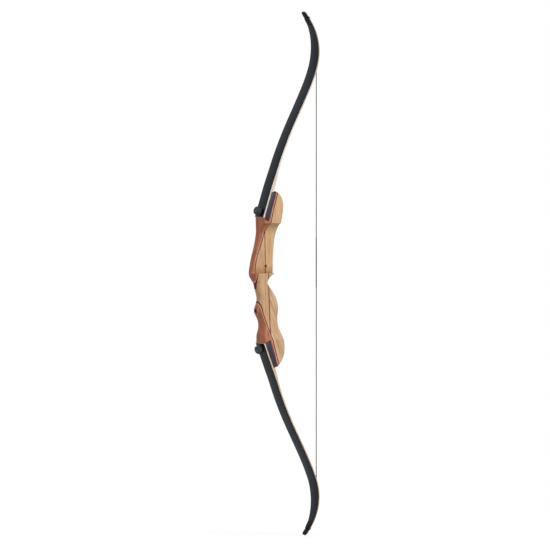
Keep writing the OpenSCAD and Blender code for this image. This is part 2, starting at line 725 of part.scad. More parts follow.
// The loop round the tip, in the limb's own terms: [above the groove, depth, sideways]
module string_loop(e) {
    t = limb_t(e, nock_h);
    r = serving_r;
    belly = t + string_depth;
    over = -overlay_t - string_gap - r;
    side = nock_w / 2 + string_gap + 0.3;
    leg = [
        [0, belly, 1.6 * r - loop_l], [1.2 * r, belly, 2.6 * r - loop_l],
        [2.2 * r, belly, -loop_l * 0.66],
        [nock_w * 0.22, belly, -loop_l * 0.46], [nock_w * 0.34, belly + 0.3, -loop_l * 0.27],
        [nock_w * 0.44, belly + 0.6, -loop_l * 0.13], [side, belly + 0.5, -1],
        [side + 0.1, t * 0.8, 0], [side, 0, 0],
        [side, over * 0.55, 0], [nock_w * 0.43, over - 0.2, 0.2],
        [nock_w * 0.22, over, 0.4]
    ];
    points = [for (q = leg) [q[2], q[1], q[0]]];
    whole = concat(
        points, [[0.4, over, 0]],
        [for (i = [len(points) - 1:-1:1]) [points[i][0], points[i][1], -points[i][2]]]
    );
    placed = [for (q = whole) let (p = limb_at(e, nock_h + q[0], q[1])) [p[0], q[2], p[1]]];
    from = limb_at(e, nock_h - loop_l, belly);
    to = limb_at(e, nock_h, over);
    across = unit([to[0] - from[0], 0, to[1] - from[1]]);
    at_end(e) tube(placed, r, cross(across, [0, 1, 0]), true);
}

// The served part that lies on the recurve, from the loop down to where the string lifts off
module string_end(e) {
    top = nock_h - loop_l - 0.3;
    points = [for (h = steps(lift_h, top, 14))
        let (p = limb_at(e, h, limb_t(e, h) + string_depth)) [p[0], 0, p[1]]];
    straight = concat([[string_x, 0, lift_h + fit], [string_x, 0, lift_h + 1]],
        [for (i = [1:14]) points[i]]);
    at_end(e) tube(straight, serving_r, [0, 1, 0]);
}

module string_half(e) {
    at_end(e) translate([string_x, 0, nocking_h[e]])
        cylinder(d = string_d, h = lift_h - nocking_h[e]);
}

// Thread wound on the straight part of the string, over a length from a height
module winding(e, from, length) {
    at_end(e) translate([string_x, 0, from]) difference() {
        cylinder(r = serving_r, h = length);
        translate([0, 0, -1]) cylinder(d = string_d, h = length + 2);
    }
}

maple = [0.80, 0.66, 0.50];
hardwood = [0.62, 0.36, 0.26];
purple = [0.37, 0.21, 0.27];
dark_block = [0.27, 0.25, 0.31];
steel_black = [0.16, 0.17, 0.19];
brass = [0.62, 0.50, 0.25];
limb_black = [0.17, 0.19, 0.22];
limb_maple = [0.88, 0.80, 0.72];
thread_black = [0.10, 0.10, 0.11];

module riser_grip_block() color(maple) riser_piece() behind_accents()
    stripe_band(-2 * cut, -centre_stripe_t / 2);
// The throat parts the wood behind the centre stripe into an upper and a lower block
module riser_back_block(e) color(maple) riser_piece() intersection() {
    behind_accents() stripe_band(centre_stripe_t / 2, 2 * cut);
    translate([-2 * cut, e == upper ? 0 : -5 * cut]) square([4 * cut, 5 * cut]);
}
module riser_centre_stripe() color(purple) riser_piece() behind_accents()
    stripe_band(-centre_stripe_t / 2, centre_stripe_t / 2);

riser_grip_block();
riser_back_block(upper);  // riser_upper_back_block
riser_back_block(lower);  // riser_lower_back_block
riser_centre_stripe();
color(purple) accent_stripe(upper);  // upper_accent_stripe
color(purple) accent_stripe(lower);  // lower_accent_stripe
color(hardwood) front_block(upper);  // upper_front_block
color(hardwood) front_block(lower);  // lower_front_block
color(dark_block) pocket_block(upper);  // upper_pocket_block
color(dark_block) pocket_block(lower);  // lower_pocket_block
color(brass) bolt_insert(upper);  // upper_bolt_insert
color(brass) bolt_insert(lower);  // lower_bolt_insert
color(steel_black) locating_pin(upper);  // upper_locating_pin
color(steel_black) locating_pin(lower);  // lower_locating_pin
color(steel_black) stabilizer_bushing();
color(brass) rest_bushing();
color(brass) sight_bushings();
color(limb_black) base_back_glass(upper);  // upper_limb_base_back_glass
color(limb_maple) base_core(upper);  // upper_limb_base_core
color(limb_maple) limb_wedge(upper);  // upper_limb_wedge
color(limb_black) base_belly_glass(upper);  // upper_limb_base_belly_glass
color(limb_black) base_back_glass(lower);  // lower_limb_base_back_glass
color(limb_maple) base_core(lower);  // lower_limb_base_core
color(limb_maple) limb_wedge(lower);  // lower_limb_wedge
color(limb_black) base_belly_glass(lower);  // lower_limb_base_belly_glass
color(limb_black) limb_back_glass(upper);  // upper_limb_back_glass
color(limb_maple) limb_core(upper);  // upper_limb_core
color(limb_black) limb_belly_glass(upper);  // upper_limb_belly_glass
color(steel_black) tip_overlay(upper);  // upper_tip_overlay
color(limb_black) limb_back_glass(lower);  // lower_limb_back_glass
color(limb_maple) limb_core(lower);  // lower_limb_core
color(limb_black) limb_belly_glass(lower);  // lower_limb_belly_glass
color(steel_black) tip_overlay(lower);  // lower_tip_overlay
color(steel_black) knob(upper);  // upper_knob
color(steel_black) bolt(upper);  // upper_bolt
color(steel_black) bolt_washer(upper);  // upper_bolt_washer
color(steel_black) knob(lower);  // lower_knob
color(steel_black) bolt(lower);  // lower_bolt
color(steel_black) bolt_washer(lower);  // lower_bolt_washer
color(thread_black) string_loop(upper);  // upper_string_loop
color(thread_black) string_end(upper);  // upper_string_end
color(thread_black) string_half(upper);  // upper_string
color(thread_black) winding(upper, lift_h - end_serving_l, end_serving_l);  // upper_end_serving
color(thread_black) winding(upper, nocking_h[upper], serving_up);  // upper_centre_serving
color(thread_black) string_loop(lower);  // lower_string_loop
color(thread_black) string_end(lower);  // lower_string_end
color(thread_black) string_half(lower);  // lower_string
color(thread_black) winding(lower, lift_h - end_serving_l, end_serving_l);  // lower_end_serving
color(thread_black) winding(lower, nocking_h[lower], serving_down);  // lower_centre_serving
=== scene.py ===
"""Take-down recurve bow, strung and at rest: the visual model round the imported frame.

Sizes are in millimetres until a mesh is made. Both ends of the bow are written in one frame:
x runs to the archer, and h is the distance from the bow's middle towards that end's tip.
"""

from math import atan, cos, pi, radians, sin, sqrt, tan

import bmesh
import bpy
from mathutils import Matrix, Vector


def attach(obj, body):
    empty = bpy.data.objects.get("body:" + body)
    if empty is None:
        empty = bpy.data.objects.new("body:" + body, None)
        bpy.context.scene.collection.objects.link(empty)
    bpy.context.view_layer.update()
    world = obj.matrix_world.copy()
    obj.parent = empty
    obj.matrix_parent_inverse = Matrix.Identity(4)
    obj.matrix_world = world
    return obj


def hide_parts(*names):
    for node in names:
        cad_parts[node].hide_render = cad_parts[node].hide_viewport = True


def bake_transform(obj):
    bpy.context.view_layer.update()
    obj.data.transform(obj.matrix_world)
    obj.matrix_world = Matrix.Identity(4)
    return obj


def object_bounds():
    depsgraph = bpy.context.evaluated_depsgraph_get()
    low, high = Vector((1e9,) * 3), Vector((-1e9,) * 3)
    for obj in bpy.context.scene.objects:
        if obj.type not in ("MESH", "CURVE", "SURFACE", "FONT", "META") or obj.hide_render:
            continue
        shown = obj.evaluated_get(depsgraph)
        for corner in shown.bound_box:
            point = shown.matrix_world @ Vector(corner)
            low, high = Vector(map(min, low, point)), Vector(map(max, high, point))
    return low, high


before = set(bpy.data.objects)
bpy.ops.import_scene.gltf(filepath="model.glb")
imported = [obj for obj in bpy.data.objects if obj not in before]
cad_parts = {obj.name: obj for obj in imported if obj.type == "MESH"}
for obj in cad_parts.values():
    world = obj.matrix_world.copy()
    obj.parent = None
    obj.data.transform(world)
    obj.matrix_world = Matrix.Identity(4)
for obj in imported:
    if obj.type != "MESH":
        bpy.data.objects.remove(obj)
cad_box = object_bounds()
MM = 0.001
ENDS = ("upper", "lower")
WAY = {"upper": 1, "lower": -1}


def add_object(name, data):
    obj = bpy.data.objects.new(name, data)
    bpy.context.scene.collection.objects.link(obj)
    return obj


# ---- Camera: a long lens, at the bow's front left and a little above; metres, sensor in mm

AZIMUTH = radians(-33.65)
ELEVATION = radians(2.5)
DISTANCE, FAR_CLIP = 60.0, 200.0
VIEW_WIDTH = 1.594
TO_RIGHT, TO_TOP = 0.0261, 0.0232
SENSOR = 36.0


def add_camera():
    back = Vector((sin(AZIMUTH) * cos(ELEVATION), -cos(AZIMUTH) * cos(ELEVATION),
                   sin(ELEVATION)))
    right = Vector((cos(AZIMUTH), sin(AZIMUTH), 0))
    up = back.cross(right)
    data = bpy.data.cameras.new("camera")
    data.sensor_width = SENSOR
    data.lens = SENSOR * DISTANCE / VIEW_WIDTH
    data.clip_end = FAR_CLIP
    camera = add_object("camera", data)
    camera.matrix_world = Matrix((right, up, back)).transposed().to_4x4()
    camera.location = right * TO_RIGHT + up * TO_TOP + back * DISTANCE
    bpy.context.scene.camera = camera


add_camera()

# ---- The bow's lines, as in the CAD source

US, LS = 192.6, -175.0  # z of the riser's shoulders
TIP_H = 760.0
MIDDLE_Z = 24.6
PAD_ANGLE = {"upper": radians(18.8), "lower": radians(22.0)}
BUTT_X = {"upper": -24.7, "lower": -22.1}
BUTT_H = {"upper": TIP_H - 592.0, "lower": TIP_H - 560.4}
FADE_H, WEDGE_END_H, BEND_H = 250.0, 339.0, 345.0
MEAN_LIMB_H = 576.2
RECURVE_X = 169.3
LIMB_HALF, NOCK_HALF = 21.5, 9.5
LIMB_BUTT_T, LIMB_BASE_T, LIMB_MID_T, LIMB_TIP_T = 13.0, 12.0, 5.2, 3.6
GLASS_T = 1.0
NOCK_H = TIP_H - 17.0
OVERLAY_L, OVERLAY_T = 40.0, 2.5
GROOVE_R, GROOVE_IN, ACROSS_R = 2.2, 1.9, 1.9
LIMB_PROUD = 6.2
POCKET_BLOCK_T, POCKET_OUT = 13.2, 78.6
BLOCK_WEDGE = {"upper": 2.4, "lower": 4.4}
BLOCK_IN = {"upper": 6.0, "lower": 1.5}
UNDER_T, UNDER_OUTER_T = {"upper": 5.2, "lower": 6.6}, 3.6
POCKET_WALL, LIMB_GAP = 2.2, 0.3
PAD_HALF = LIMB_HALF + LIMB_GAP + POCKET_WALL
ACCENT_T, STRIPE_T, VENEER_T = 3.1, 2.7, 1.8
STRIPE_FRONT, STRIPE_LEAN = 0.4, radians(1.2)
SHELF_Z, WINDOW_TOP, WINDOW_Y, RUN_OUT_R = 28.7, 140.0, 1.0, 35.0
BOLT_FROM_BUTT, BOLT_R, BOLT_CLEARANCE = 15.2, 3.97, 0.4
KNOB_R, KNOB_H, KNOB_SHOULDER = 12.25, 15.0, 5.0
KNOB_FLUTES, FLUTE_DEPTH, FLUTE_FROM_R = 24, 0.5, 8.5
WASHER_R, WASHER_T = 9.5, 3.5
INSERT_L = 16.0
STRING_X, LIFT_H, NOCKING_Z = 175.22, 649.0, 50.0
STRING_R, SERVING_R, STRING_GAP = 1.2, 1.5, 0.3
SERVING_REACH = {"upper": 77.0, "lower": 66.0}
LOOP_L, END_SERVING_L = 28.0, 60.0
THREAD_PITCH, THREAD_DEPTH = 1.411, 0.8
# Cutting tools, which only have to be larger than what they cut
REACH, TALL, PAST_POCKET, DRILL_OUT, DRILL_FAR = 120.0, 300.0, 180.0, 20.0, 30.0


def slope(knots, i):
    (a, va), (b, vb) = knots[i], knots[i + 1]
    return (vb - va) / (b - a)


def tangent(knots, i):
    if i <= 1:
        return slope(knots, 0)
    if i == len(knots) - 1:
        return slope(knots, i - 1)
    before = knots[i][0] - knots[i - 1][0]
    after = knots[i + 1][0] - knots[i][0]
    return (slope(knots, i - 1) * after + slope(knots, i) * before) / (before + after)


def curve(knots, place):
    """A smooth curve through (place, value) knots, straight at its start."""
    i = 0
    while i < len(knots) - 2 and place >= knots[i + 1][0]:
        i += 1
    width = knots[i + 1][0] - knots[i][0]
    t = (place - knots[i][0]) / width
    rise = 3 * t * t - 2 * t ** 3
    return (knots[i][1] * (1 - rise) + knots[i + 1][1] * rise
            + width * tangent(knots, i) * (t ** 3 - 2 * t * t + t)
            + width * tangent(knots, i + 1) * (t ** 3 - t * t))


def steps(a, b, n):
    return [a + (b - a) * i / n for i in range(n + 1)]


def ease(t):
    t = min(max(t, 0.0), 1.0)
    return t * t * (3 - 2 * t)


def place(end, x, y, h):
    """A point of one end's frame, in the row's frame."""
    return Vector((x, y, MIDDLE_Z + WAY[end] * h))


def pad(end, along, depth):
    """A point (x, h) at a distance from the butt along the limb pad, and behind it."""
    a = PAD_ANGLE[end]
    return (BUTT_X[end] + along * sin(a) + depth * cos(a),
            BUTT_H[end] + along * cos(a) - depth * sin(a))


# The limb's face: height below the tip as a share of the limb's height, then the upper and
# the lower limb's distance in front of the recurve's rearmost place
LIMB_OUTER = (
    (0.7897, 145, 148.4), (0.7202, 129.3, 133.1), (0.6317, 106.4, 111.2), (0.5745, 90.1, 95.1),
    (0.4859, 63, 67.9), (0.4235, 44.1, 48.6), (0.3245, 17.1, 20.5), (0.2516, 3.6, 4.9),
    (0.1822, 0, 0), (0.1041, 8, 6.6), (0.0434, 24.3, 21.3), (0, 40.5, 37.3),
)
LIMB_KNOTS = {}
for column, end in enumerate(ENDS, start=1):
    LIMB_KNOTS[end] = [(BUTT_H[end], BUTT_X[end]), pad(end, POCKET_OUT, 0)[::-1]] + [
        (TIP_H - row[0] * MEAN_LIMB_H, RECURVE_X - row[column]) for row in LIMB_OUTER]


def face_x(end, h):
    return curve(LIMB_KNOTS[end], h)


def face_lean(end, h):
    return atan(face_x(end, h + 0.5) - face_x(end, h - 0.5))


def limb_t(end, h):
    if h < FADE_H:
        share = (h - BUTT_H[end]) / (FADE_H - BUTT_H[end])
        return LIMB_BUTT_T + (LIMB_BASE_T - LIMB_BUTT_T) * share
    if h < BEND_H:
        share = (1 - cos(pi * (h - FADE_H) / (BEND_H - FADE_H))) / 2
        return LIMB_BASE_T * (1 - share) + LIMB_MID_T * share
    return LIMB_MID_T + (LIMB_TIP_T - LIMB_MID_T) * (h - BEND_H) / (TIP_H - BEND_H)


def limb_at(end, h, depth):
    """A point (x, h) square behind the limb's face at height h."""
    lean = face_lean(end, h)
    return (face_x(end, h) + depth * cos(lean), h - depth * sin(lean))


def limb_point(end, h, depth, y=0.0):
    """The same point in the row's frame, at a distance y to the side."""
    x, height = limb_at(end, h, depth)
    return place(end, x, y, height)


# The limb's half width, by its distance from the tip
WIDTH_KNOTS = [
    (-165, LIMB_HALF), (-140, LIMB_HALF), (-95, LIMB_HALF - 1.9), (-72, LIMB_HALF - 3.9),
    (-49, LIMB_HALF - 6.4), (-31, NOCK_HALF + 3.0), (-17, NOCK_HALF + 0.4),
    (-8, NOCK_HALF + 0.2),
]
TIP_ROUND = 9.0


def limb_half_w(h):
    below = h - TIP_H
    if below < -150:
        return LIMB_HALF
    if below <= -TIP_ROUND:
        return curve(WIDTH_KNOTS, below)
    at_round = curve(WIDTH_KNOTS, -TIP_ROUND)
    share = min((below + TIP_ROUND) / TIP_ROUND, 1.0)
    return at_round * (0.3 + 0.7 * sqrt(1 - share * share))


# ---- Mesh tools

SHARP = 38.0


def smooth(mesh, sharp=SHARP):
    mesh.shade_smooth()
    mesh.set_sharp_from_angle(angle=radians(sharp))


def in_pairs(rows, closed):
    """Each row with the next one, and the last with the first where they close."""
    return list(zip(rows, rows[1:])) + ([(rows[-1], rows[0])] if closed else [])


def finish_mesh(name, bm, sharp):
    """Makes an object of a closed mesh, smooth but for edges sharper than the angle."""
    bmesh.ops.remove_doubles(bm, verts=bm.verts, dist=1e-7)
    bmesh.ops.recalc_face_normals(bm, faces=bm.faces)
    mesh = bpy.data.meshes.new(name)
    bm.to_mesh(mesh)
    bm.free()
    smooth(mesh, sharp)
    return add_object(name, mesh)


def loft(name, rings, closed=False, sharp=SHARP):
    """A skin over rings of points, each with as many points; the ends are capped."""
    bm = bmesh.new()
    rows = [[bm.verts.new(Vector(p) * MM) for p in ring] for ring in rings]
    count = len(rows[0])
    for a, b in in_pairs(rows, closed):
        for j in range(count):
            k = (j + 1) % count
            bm.faces.new((a[j], a[k], b[k], b[j]))
    if not closed:
        bm.faces.new(rows[0][::-1])
        bm.faces.new(rows[-1])
    return finish_mesh(name, bm, sharp)


def side_plate(name, outline, half=REACH / 2):
    """An outline in x and z, as a plate of even thickness about the middle plane."""
    return loft(name, [[(x, y, z) for x, z in outline] for y in (-half, half)])


def apply_modifiers(obj):
    """Makes what the modifiers give the object's own mesh, and smooths it again."""
    graph = bpy.context.evaluated_depsgraph_get()
    old = obj.data
    obj.data = bpy.data.meshes.new_from_object(obj.evaluated_get(graph))
    obj.modifiers.clear()
    obj.data.name = obj.name
    bpy.data.meshes.remove(old)
    smooth(obj.data)


def cut(obj, *tools, how="DIFFERENCE"):
    """Takes each tool out of an object, or with INTERSECT keeps what lies in the tool."""
    for tool in tools:
        modifier = obj.modifiers.new("cut", "BOOLEAN")
        modifier.operation = how
        modifier.object = tool
        modifier.solver = "MANIFOLD"
        apply_modifiers(obj)


def discard(*objects):
    for obj in objects:
        bpy.data.objects.remove(obj)


def bevel(obj, width):
    modifier = obj.modifiers.new("bevel", "BEVEL")
    modifier.width = width * MM
    modifier.segments = 2
    modifier.limit_method = "ANGLE"
    modifier.angle_limit = radians(40)
    apply_modifiers(obj)


def frame_at(origin, axis):
    """A right-handed frame with z along axis and y across the bow, as (origin, u, v, w)."""
    w = Vector(axis).normalized()
    across = Vector((0, 1, 0)) if abs(w.y) < 0.9 else Vector((0, 0, 1))
    u = across.cross(w).normalized()
    return Vector(origin), u, w.cross(u), w


def bolt_frame(end):
    """The limb bolt's frame, from the limb's face outwards."""
    a = PAD_ANGLE[end]
    x, h = pad(end, BOLT_FROM_BUTT, 0.0)
    return frame_at(place(end, x, 0, h), (-cos(a), 0, WAY[end] * sin(a)))


def lathe(name, profile, axes, around=48, change=None, hollow=False, sharp=SHARP):
    """Turns (radius, height) points round a frame's z; change(angle, r, z) alters a radius."""
    origin, u, v, w = axes
    bm = bmesh.new()
    rows = []
    for r, z in profile:
        if r == 0:
            rows.append([bm.verts.new((origin + w * z) * MM)])
            continue
        row = []
        for j in range(around):
            angle = 2 * pi * j / around
            size = change(angle, r, z) if change else r
            spoke = u * cos(angle) + v * sin(angle)
            row.append(bm.verts.new((origin + spoke * size + w * z) * MM))
        rows.append(row)
    for a, b in in_pairs(rows, hollow):
        for j in range(around):
            k = (j + 1) % around
            if len(a) == 1:
                bm.faces.new((a[0], b[k], b[j]))
            elif len(b) == 1:
                bm.faces.new((a[j], a[k], b[0]))
            else:
                bm.faces.new((a[j], a[k], b[k], b[j]))
    return finish_mesh(name, bm, sharp)


def tube(name, points, flat, radius, around=14, closed=False):
    """A cord along the points; radius(angle, run) gives its size round and along it."""
    flat = Vector(flat)
    points = [Vector(p) for p in points]
    rings, run, last = [], 0.0, len(points) - 1
    for i, p in enumerate(points):
        before = points[i - 1] if closed or i else p
        after = points[(i + 1) % len(points)] if closed or i < last else p
        way = (after - before).normalized()
        if i:
            run += (p - points[i - 1]).length
        u = (flat - way * flat.dot(way)).normalized()
        v = way.cross(u)
        rings.append([
            p + (u * cos(a) + v * sin(a)) * radius(a, run)
            for a in (2 * pi * j / around for j in range(around))])
    return loft(name, rings, closed, sharp=60)


def smooth_path(points, spacing, closed=False, fineness=24):
    """Evenly spaced points along a smooth curve through the given ones, and its length."""
    points = [Vector(p) for p in points]
    count = len(points)
    spans = count if closed else count - 1
    fine = []
    for i in range(spans):
        p1, p2 = points[i], points[(i + 1) % count]
        p0 = points[i - 1] if closed or i else p1 * 2 - p2
        p3 = points[(i + 2) % count] if closed or i < spans - 1 else p2 * 2 - p1
        for k in range(fineness):
            t = k / fineness
            fine.append(0.5 * (2 * p1 + (p2 - p0) * t + (2 * p0 - 5 * p1 + 4 * p2 - p3) * t ** 2
                               + (3 * p1 - p0 - 3 * p2 + p3) * t ** 3))
    fine.append(points[0] if closed else points[-1])
    runs = [0.0]
    for a, b in zip(fine, fine[1:]):
        runs.append(runs[-1] + (b - a).length)
    total = runs[-1]
    n = max(4, round(total / spacing))
    path, i = [], 0
    for k in range(n if closed else n + 1):
        want = total * k / n
        while i < len(runs) - 2 and runs[i + 1] < want:
            i += 1
        share = (want - runs[i]) / max(runs[i + 1] - runs[i], 1e-9)
        path.append(fine[i].lerp(fine[i + 1], min(share, 1.0)))
    return path, total


# ---- Materials


def rgb(r, g, b):
    """A colour as it looks on a screen, 0 to 255, as a shader's linear colour."""
    def linear(c):
        c /= 255
        return c / 12.92 if c <= 0.04045 else ((c + 0.055) / 1.055) ** 2.4
    return (linear(r), linear(g), linear(b), 1.0)


def add_node(tree, kind, inputs=None, **settings):
    """A shader node; an input is a plain value or another node's output."""
    node = tree.nodes.new("ShaderNode" + kind)
    for key, value in settings.items():
        setattr(node, key, value)
    for key, value in (inputs or {}).items():
        if isinstance(value, bpy.types.NodeSocket):
            tree.links.new(value, node.inputs[key])
        else:
            node.inputs[key].default_value = value
    return node


MATERIALS = {}


def new_material(name, **settings):
    """Adds a material with one Principled shader, and returns its tree and shader."""
    made = MATERIALS[name] = bpy.data.materials.new(name)
    made.use_nodes = True
    tree = made.node_tree
    shader = next(n for n in tree.nodes if n.type == "BSDF_PRINCIPLED")
    for key, value in settings.items():
        shader.inputs[key.replace("_", " ")].default_value = value
    return tree, shader


def stretched(tree, scale=(1, 1, 1), offset=(0, 0, 0), turn=0.0):
    """The piece's own coordinates, turned about y and then scaled."""
    spot = add_node(tree, "TexCoord").outputs["Object"]
    if turn:
        spot = add_node(tree, "Mapping", {
            "Vector": spot, "Rotation": (0, turn, 0)}).outputs[0]
    return add_node(tree, "Mapping", {
        "Vector": spot, "Scale": scale, "Location": offset}).outputs[0]


def noise(tree, vector, scale, detail=4.0, rough=0.55, distortion=0.0):
    return add_node(tree, "TexNoise", {
        "Vector": vector, "Scale": scale, "Detail": detail, "Roughness": rough,
        "Distortion": distortion}).outputs["Fac"]


def ramp(tree, value, stops):
    made = add_node(tree, "ValToRGB", {"Fac": value})
    elements = made.color_ramp.elements
    while len(elements) < len(stops):
        elements.new(0.5)
    for element, (position, colour) in zip(elements, stops):
        element.position = position
        element.color = colour
    return made.outputs["Color"]


def remap(tree, value, low, high, from_low=0.3, from_high=0.7):
    return add_node(tree, "MapRange", {
        "Value": value, "From Min": from_low, "From Max": from_high,
        "To Min": low, "To Max": high}).outputs["Result"]


def mix(tree, share, a, b):
    """Colour a where the share is 0 and colour b where it is 1."""
    return add_node(tree, "Mix", {0: share, 6: a, 7: b}, data_type="RGBA").outputs[2]


def maths(tree, operation, *values):
    return add_node(tree, "Math", dict(enumerate(values)), operation=operation).outputs[0]


def finish_shader(tree, shader, colour, rough, height, strength, depth):
    """Gives a shader its colour, roughness and bump."""
    raised = add_node(tree, "Bump", {
        "Height": height, "Strength": strength, "Distance": depth * MM})
    for key, value in (("Base Color", colour), ("Roughness", rough),
                       ("Normal", raised.outputs["Normal"])):
        tree.links.new(value, shader.inputs[key])


def own_xyz(tree):
    """The piece's own coordinates, as outputs X, Y and Z."""
    spot = add_node(tree, "TexCoord").outputs["Object"]
    return add_node(tree, "SeparateXYZ", {"Vector": spot}).outputs


def away_from(tree, value, middle):
    return maths(tree, "ABSOLUTE", maths(tree, "SUBTRACT", value, middle))


def near(tree, value, middle, reach):
    """1 at a middle value, and 0 from a reach away from it."""
    return remap(tree, away_from(tree, value, middle), 1.0, 0.0, 0.0, reach)


def painted_shelf_shade(tree):
    """Painted shade: 1 in the corner of shelf and window, less and less up the window, and 0
    elsewhere.
    """
    spot = own_xyz(tree)
    height = spot["Z"]
    corner = near(tree, height, (SHELF_Z + 0.8) * MM, 2.4 * MM)
    upward = remap(tree, height, 1.15, 0.0, SHELF_Z * MM, (SHELF_Z + 24) * MM)
    above = remap(tree, height, 0.0, 1.0, (SHELF_Z - 1.6) * MM, SHELF_Z * MM)
    level = maths(tree, "MAXIMUM", corner, maths(tree, "MULTIPLY", upward, above))
    return maths(tree, "MULTIPLY", level, near(tree, spot["Y"], -WINDOW_Y * MM, 5.0 * MM))


def far_out(tree):
    """0 up to the limbs' tapers, and 1 at the tips."""
    height = away_from(tree, own_xyz(tree)["Z"], MIDDLE_Z * MM)
    return remap(tree, height, 0.0, 1.0, 0.42, 0.74)


def side_on(tree):
    """1 on the faces that look along y, such as a limb's sides, and 0 on the others."""
    normal = add_node(tree, "NewGeometry").outputs["True Normal"]
    facing = add_node(tree, "SeparateXYZ", {"Vector": normal}).outputs
    return remap(tree, maths(tree, "ABSOLUTE", facing["Y"]), 0.0, 1.0, 0.5, 0.7)


WOOD_ROUGH, COAT_ROUGH = 0.42, 0.22
# The first colour is the brown of the painted shade in the shelf's corner
SHELF_SHADE_BROWN, WHITE = rgb(126, 80, 52), (1, 1, 1, 1)


def wood(name, light, mid, dark, offset=(0, 0, 0), turn=0.0, streak=0.5, coat=0.06,
         corner=False, tip=None):
    """Lacquered wood with its grain along z: broad figure, growth lines and fine pores.

    corner paints a brown shade into the shelf's corner and up the window's foot, and tip is its
    colour at the limbs' tips.
    """
    tree, shader = new_material(name, Specular_IOR_Level=0.22, Coat_Weight=coat,
                                Coat_Roughness=COAT_ROUGH)
    figure = noise(tree, stretched(tree, (1, 1, 0.09), offset, turn), 150, 4, 0.6, 0.8)
    lines = noise(tree, stretched(tree, (1, 1, 0.03), offset, turn), 420, 3, 0.6, 0.3)
    pores = noise(tree, stretched(tree, (1, 1, 0.05), offset, turn), 1500, 3, 0.6)
    base = ramp(tree, figure, ((0.36, dark), (0.5, mid), (0.64, light)))
    lined = mix(tree, remap(tree, lines, 0.0, streak, 0.46, 0.66), base, dark)
    pored = mix(tree, remap(tree, pores, 0.0, 0.5, 0.55, 0.8), lined, dark)
    if corner:
        # painted shade: the shelf's corner and the window's foot darkened towards brown
        pored = mix(tree, painted_shelf_shade(tree), pored, SHELF_SHADE_BROWN)
    if tip:
        pored = mix(tree, far_out(tree), pored, tip)
    rough = remap(tree, pores, WOOD_ROUGH - 0.05, WOOD_ROUGH + 0.1)
    finish_shader(tree, shader, pored, rough, pores, 0.12, 0.15)


def fine_surface(name, light, dark, rough, specular, scale=260, stretch=(1, 1, 1), bumps=0.1,
                 depth=0.1, edge=None):
    """A finished surface with slight mottling, uneven gloss and a fine texture.

    edge is the colour of its side faces, in the limbs' middles and at their tips.
    """
    tree, shader = new_material(name, Specular_IOR_Level=specular)
    vector = stretched(tree, stretch)
    blotch = noise(tree, vector, scale * 0.12, 3, 0.5)
    grain = noise(tree, vector, scale * 6, 3, 0.6)
    colour = ramp(tree, blotch, ((0.32, dark), (0.68, light)))
    surface = mix(tree, remap(tree, grain, 0.0, 0.3), colour, dark)
    if edge:
        surface = mix(tree, side_on(tree), surface, mix(tree, far_out(tree), *edge))
    finish_shader(tree, shader, surface, remap(tree, blotch, rough - 0.05, rough + 0.07),
                  grain, bumps, depth)


def turned_metal(name, light, dark, rough):
    """Machined metal with fine tool marks and a dulled skin."""
    tree, shader = new_material(name, Metallic=1.0)
    dull = noise(tree, stretched(tree), 180, 4, 0.6)
    marks = noise(tree, stretched(tree, (9, 1, 1)), 900, 2, 0.5)
    finish_shader(tree, shader, ramp(tree, dull, ((0.35, dark), (0.65, light))),
                  remap(tree, marks, rough - 0.08, rough + 0.12), marks, 0.12, 0.05)


LIMB_GLASS = (rgb(25, 35, 45), rgb(18, 26, 35), 0.42, 0.14, 300, (1, 1, 0.08), 0.08, 0.06)
wood("maple_grip", rgb(227, 188, 146), rgb(216, 175, 131), rgb(190, 147, 104), corner=True)
# Painted light: maple_back is the grip's maple made a little lighter, for the brightly lit ear
# over the window
wood("maple_back", rgb(234, 194, 150), rgb(224, 182, 136), rgb(202, 154, 108),
     (0.31, 0.07, 0.13), corner=True)
wood("maple_foot", rgb(230, 197, 160), rgb(219, 184, 145), rgb(198, 146, 103),
     (0.52, 0.21, 0.4), radians(17), 0.7)
wood("veneer", rgb(236, 198, 156), rgb(228, 184, 138), rgb(212, 162, 116), (0.1, 0.4, 0.2))
wood("hardwood", rgb(213, 134, 92), rgb(193, 116, 82), rgb(158, 92, 68), (0.7, 0.3, 0.5),
     streak=0.7)
wood("purple", rgb(122, 28, 54), rgb(104, 22, 46), rgb(78, 15, 34), (0.2, 0.9, 0), coat=0.0)
wood("laminate", rgb(74, 67, 81), rgb(60, 54, 67), rgb(46, 41, 52), (0.4, 0.1, 0.6),
     streak=0.6, coat=0.0)
wood("core_upper", rgb(246, 234, 219), rgb(238, 222, 203), rgb(224, 203, 180),
     (0.6, 0.2, 0.1), streak=0.3, coat=0.0, tip=rgb(152, 124, 102))
wood("core_lower", rgb(242, 223, 198), rgb(234, 210, 181), rgb(218, 188, 156),
     (0.2, 0.5, 0.7), streak=0.3, coat=0.0, tip=rgb(158, 122, 94))
fine_surface("glass", *LIMB_GLASS)
fine_surface("belly_glass", *LIMB_GLASS, (rgb(243, 221, 195), rgb(168, 138, 114)))
fine_surface("overlay", rgb(22, 24, 28), rgb(13, 15, 18), 0.5, 0.07)
fine_surface("knob", rgb(43, 53, 57), rgb(31, 39, 43), 0.46, 0.35, 300, bumps=0.25)
fine_surface("washer", rgb(30, 31, 34), rgb(20, 21, 24), 0.42, 0.3)
turned_metal("bolt", rgb(84, 84, 88), rgb(58, 58, 62), 0.34)
turned_metal("pin", rgb(168, 168, 170), rgb(138, 138, 142), 0.3)
turned_metal("brass", rgb(176, 140, 82), rgb(122, 90, 48), 0.4)
fine_surface("bushing", rgb(32, 34, 37), rgb(20, 22, 25), 0.4, 0.3)
fine_surface("string", rgb(30, 30, 33), rgb(18, 18, 21), 0.7, 0.1, 900, bumps=0.4)
fine_surface("serving", rgb(26, 26, 29), rgb(15, 15, 18), 0.65, 0.1, 900, bumps=0.3)


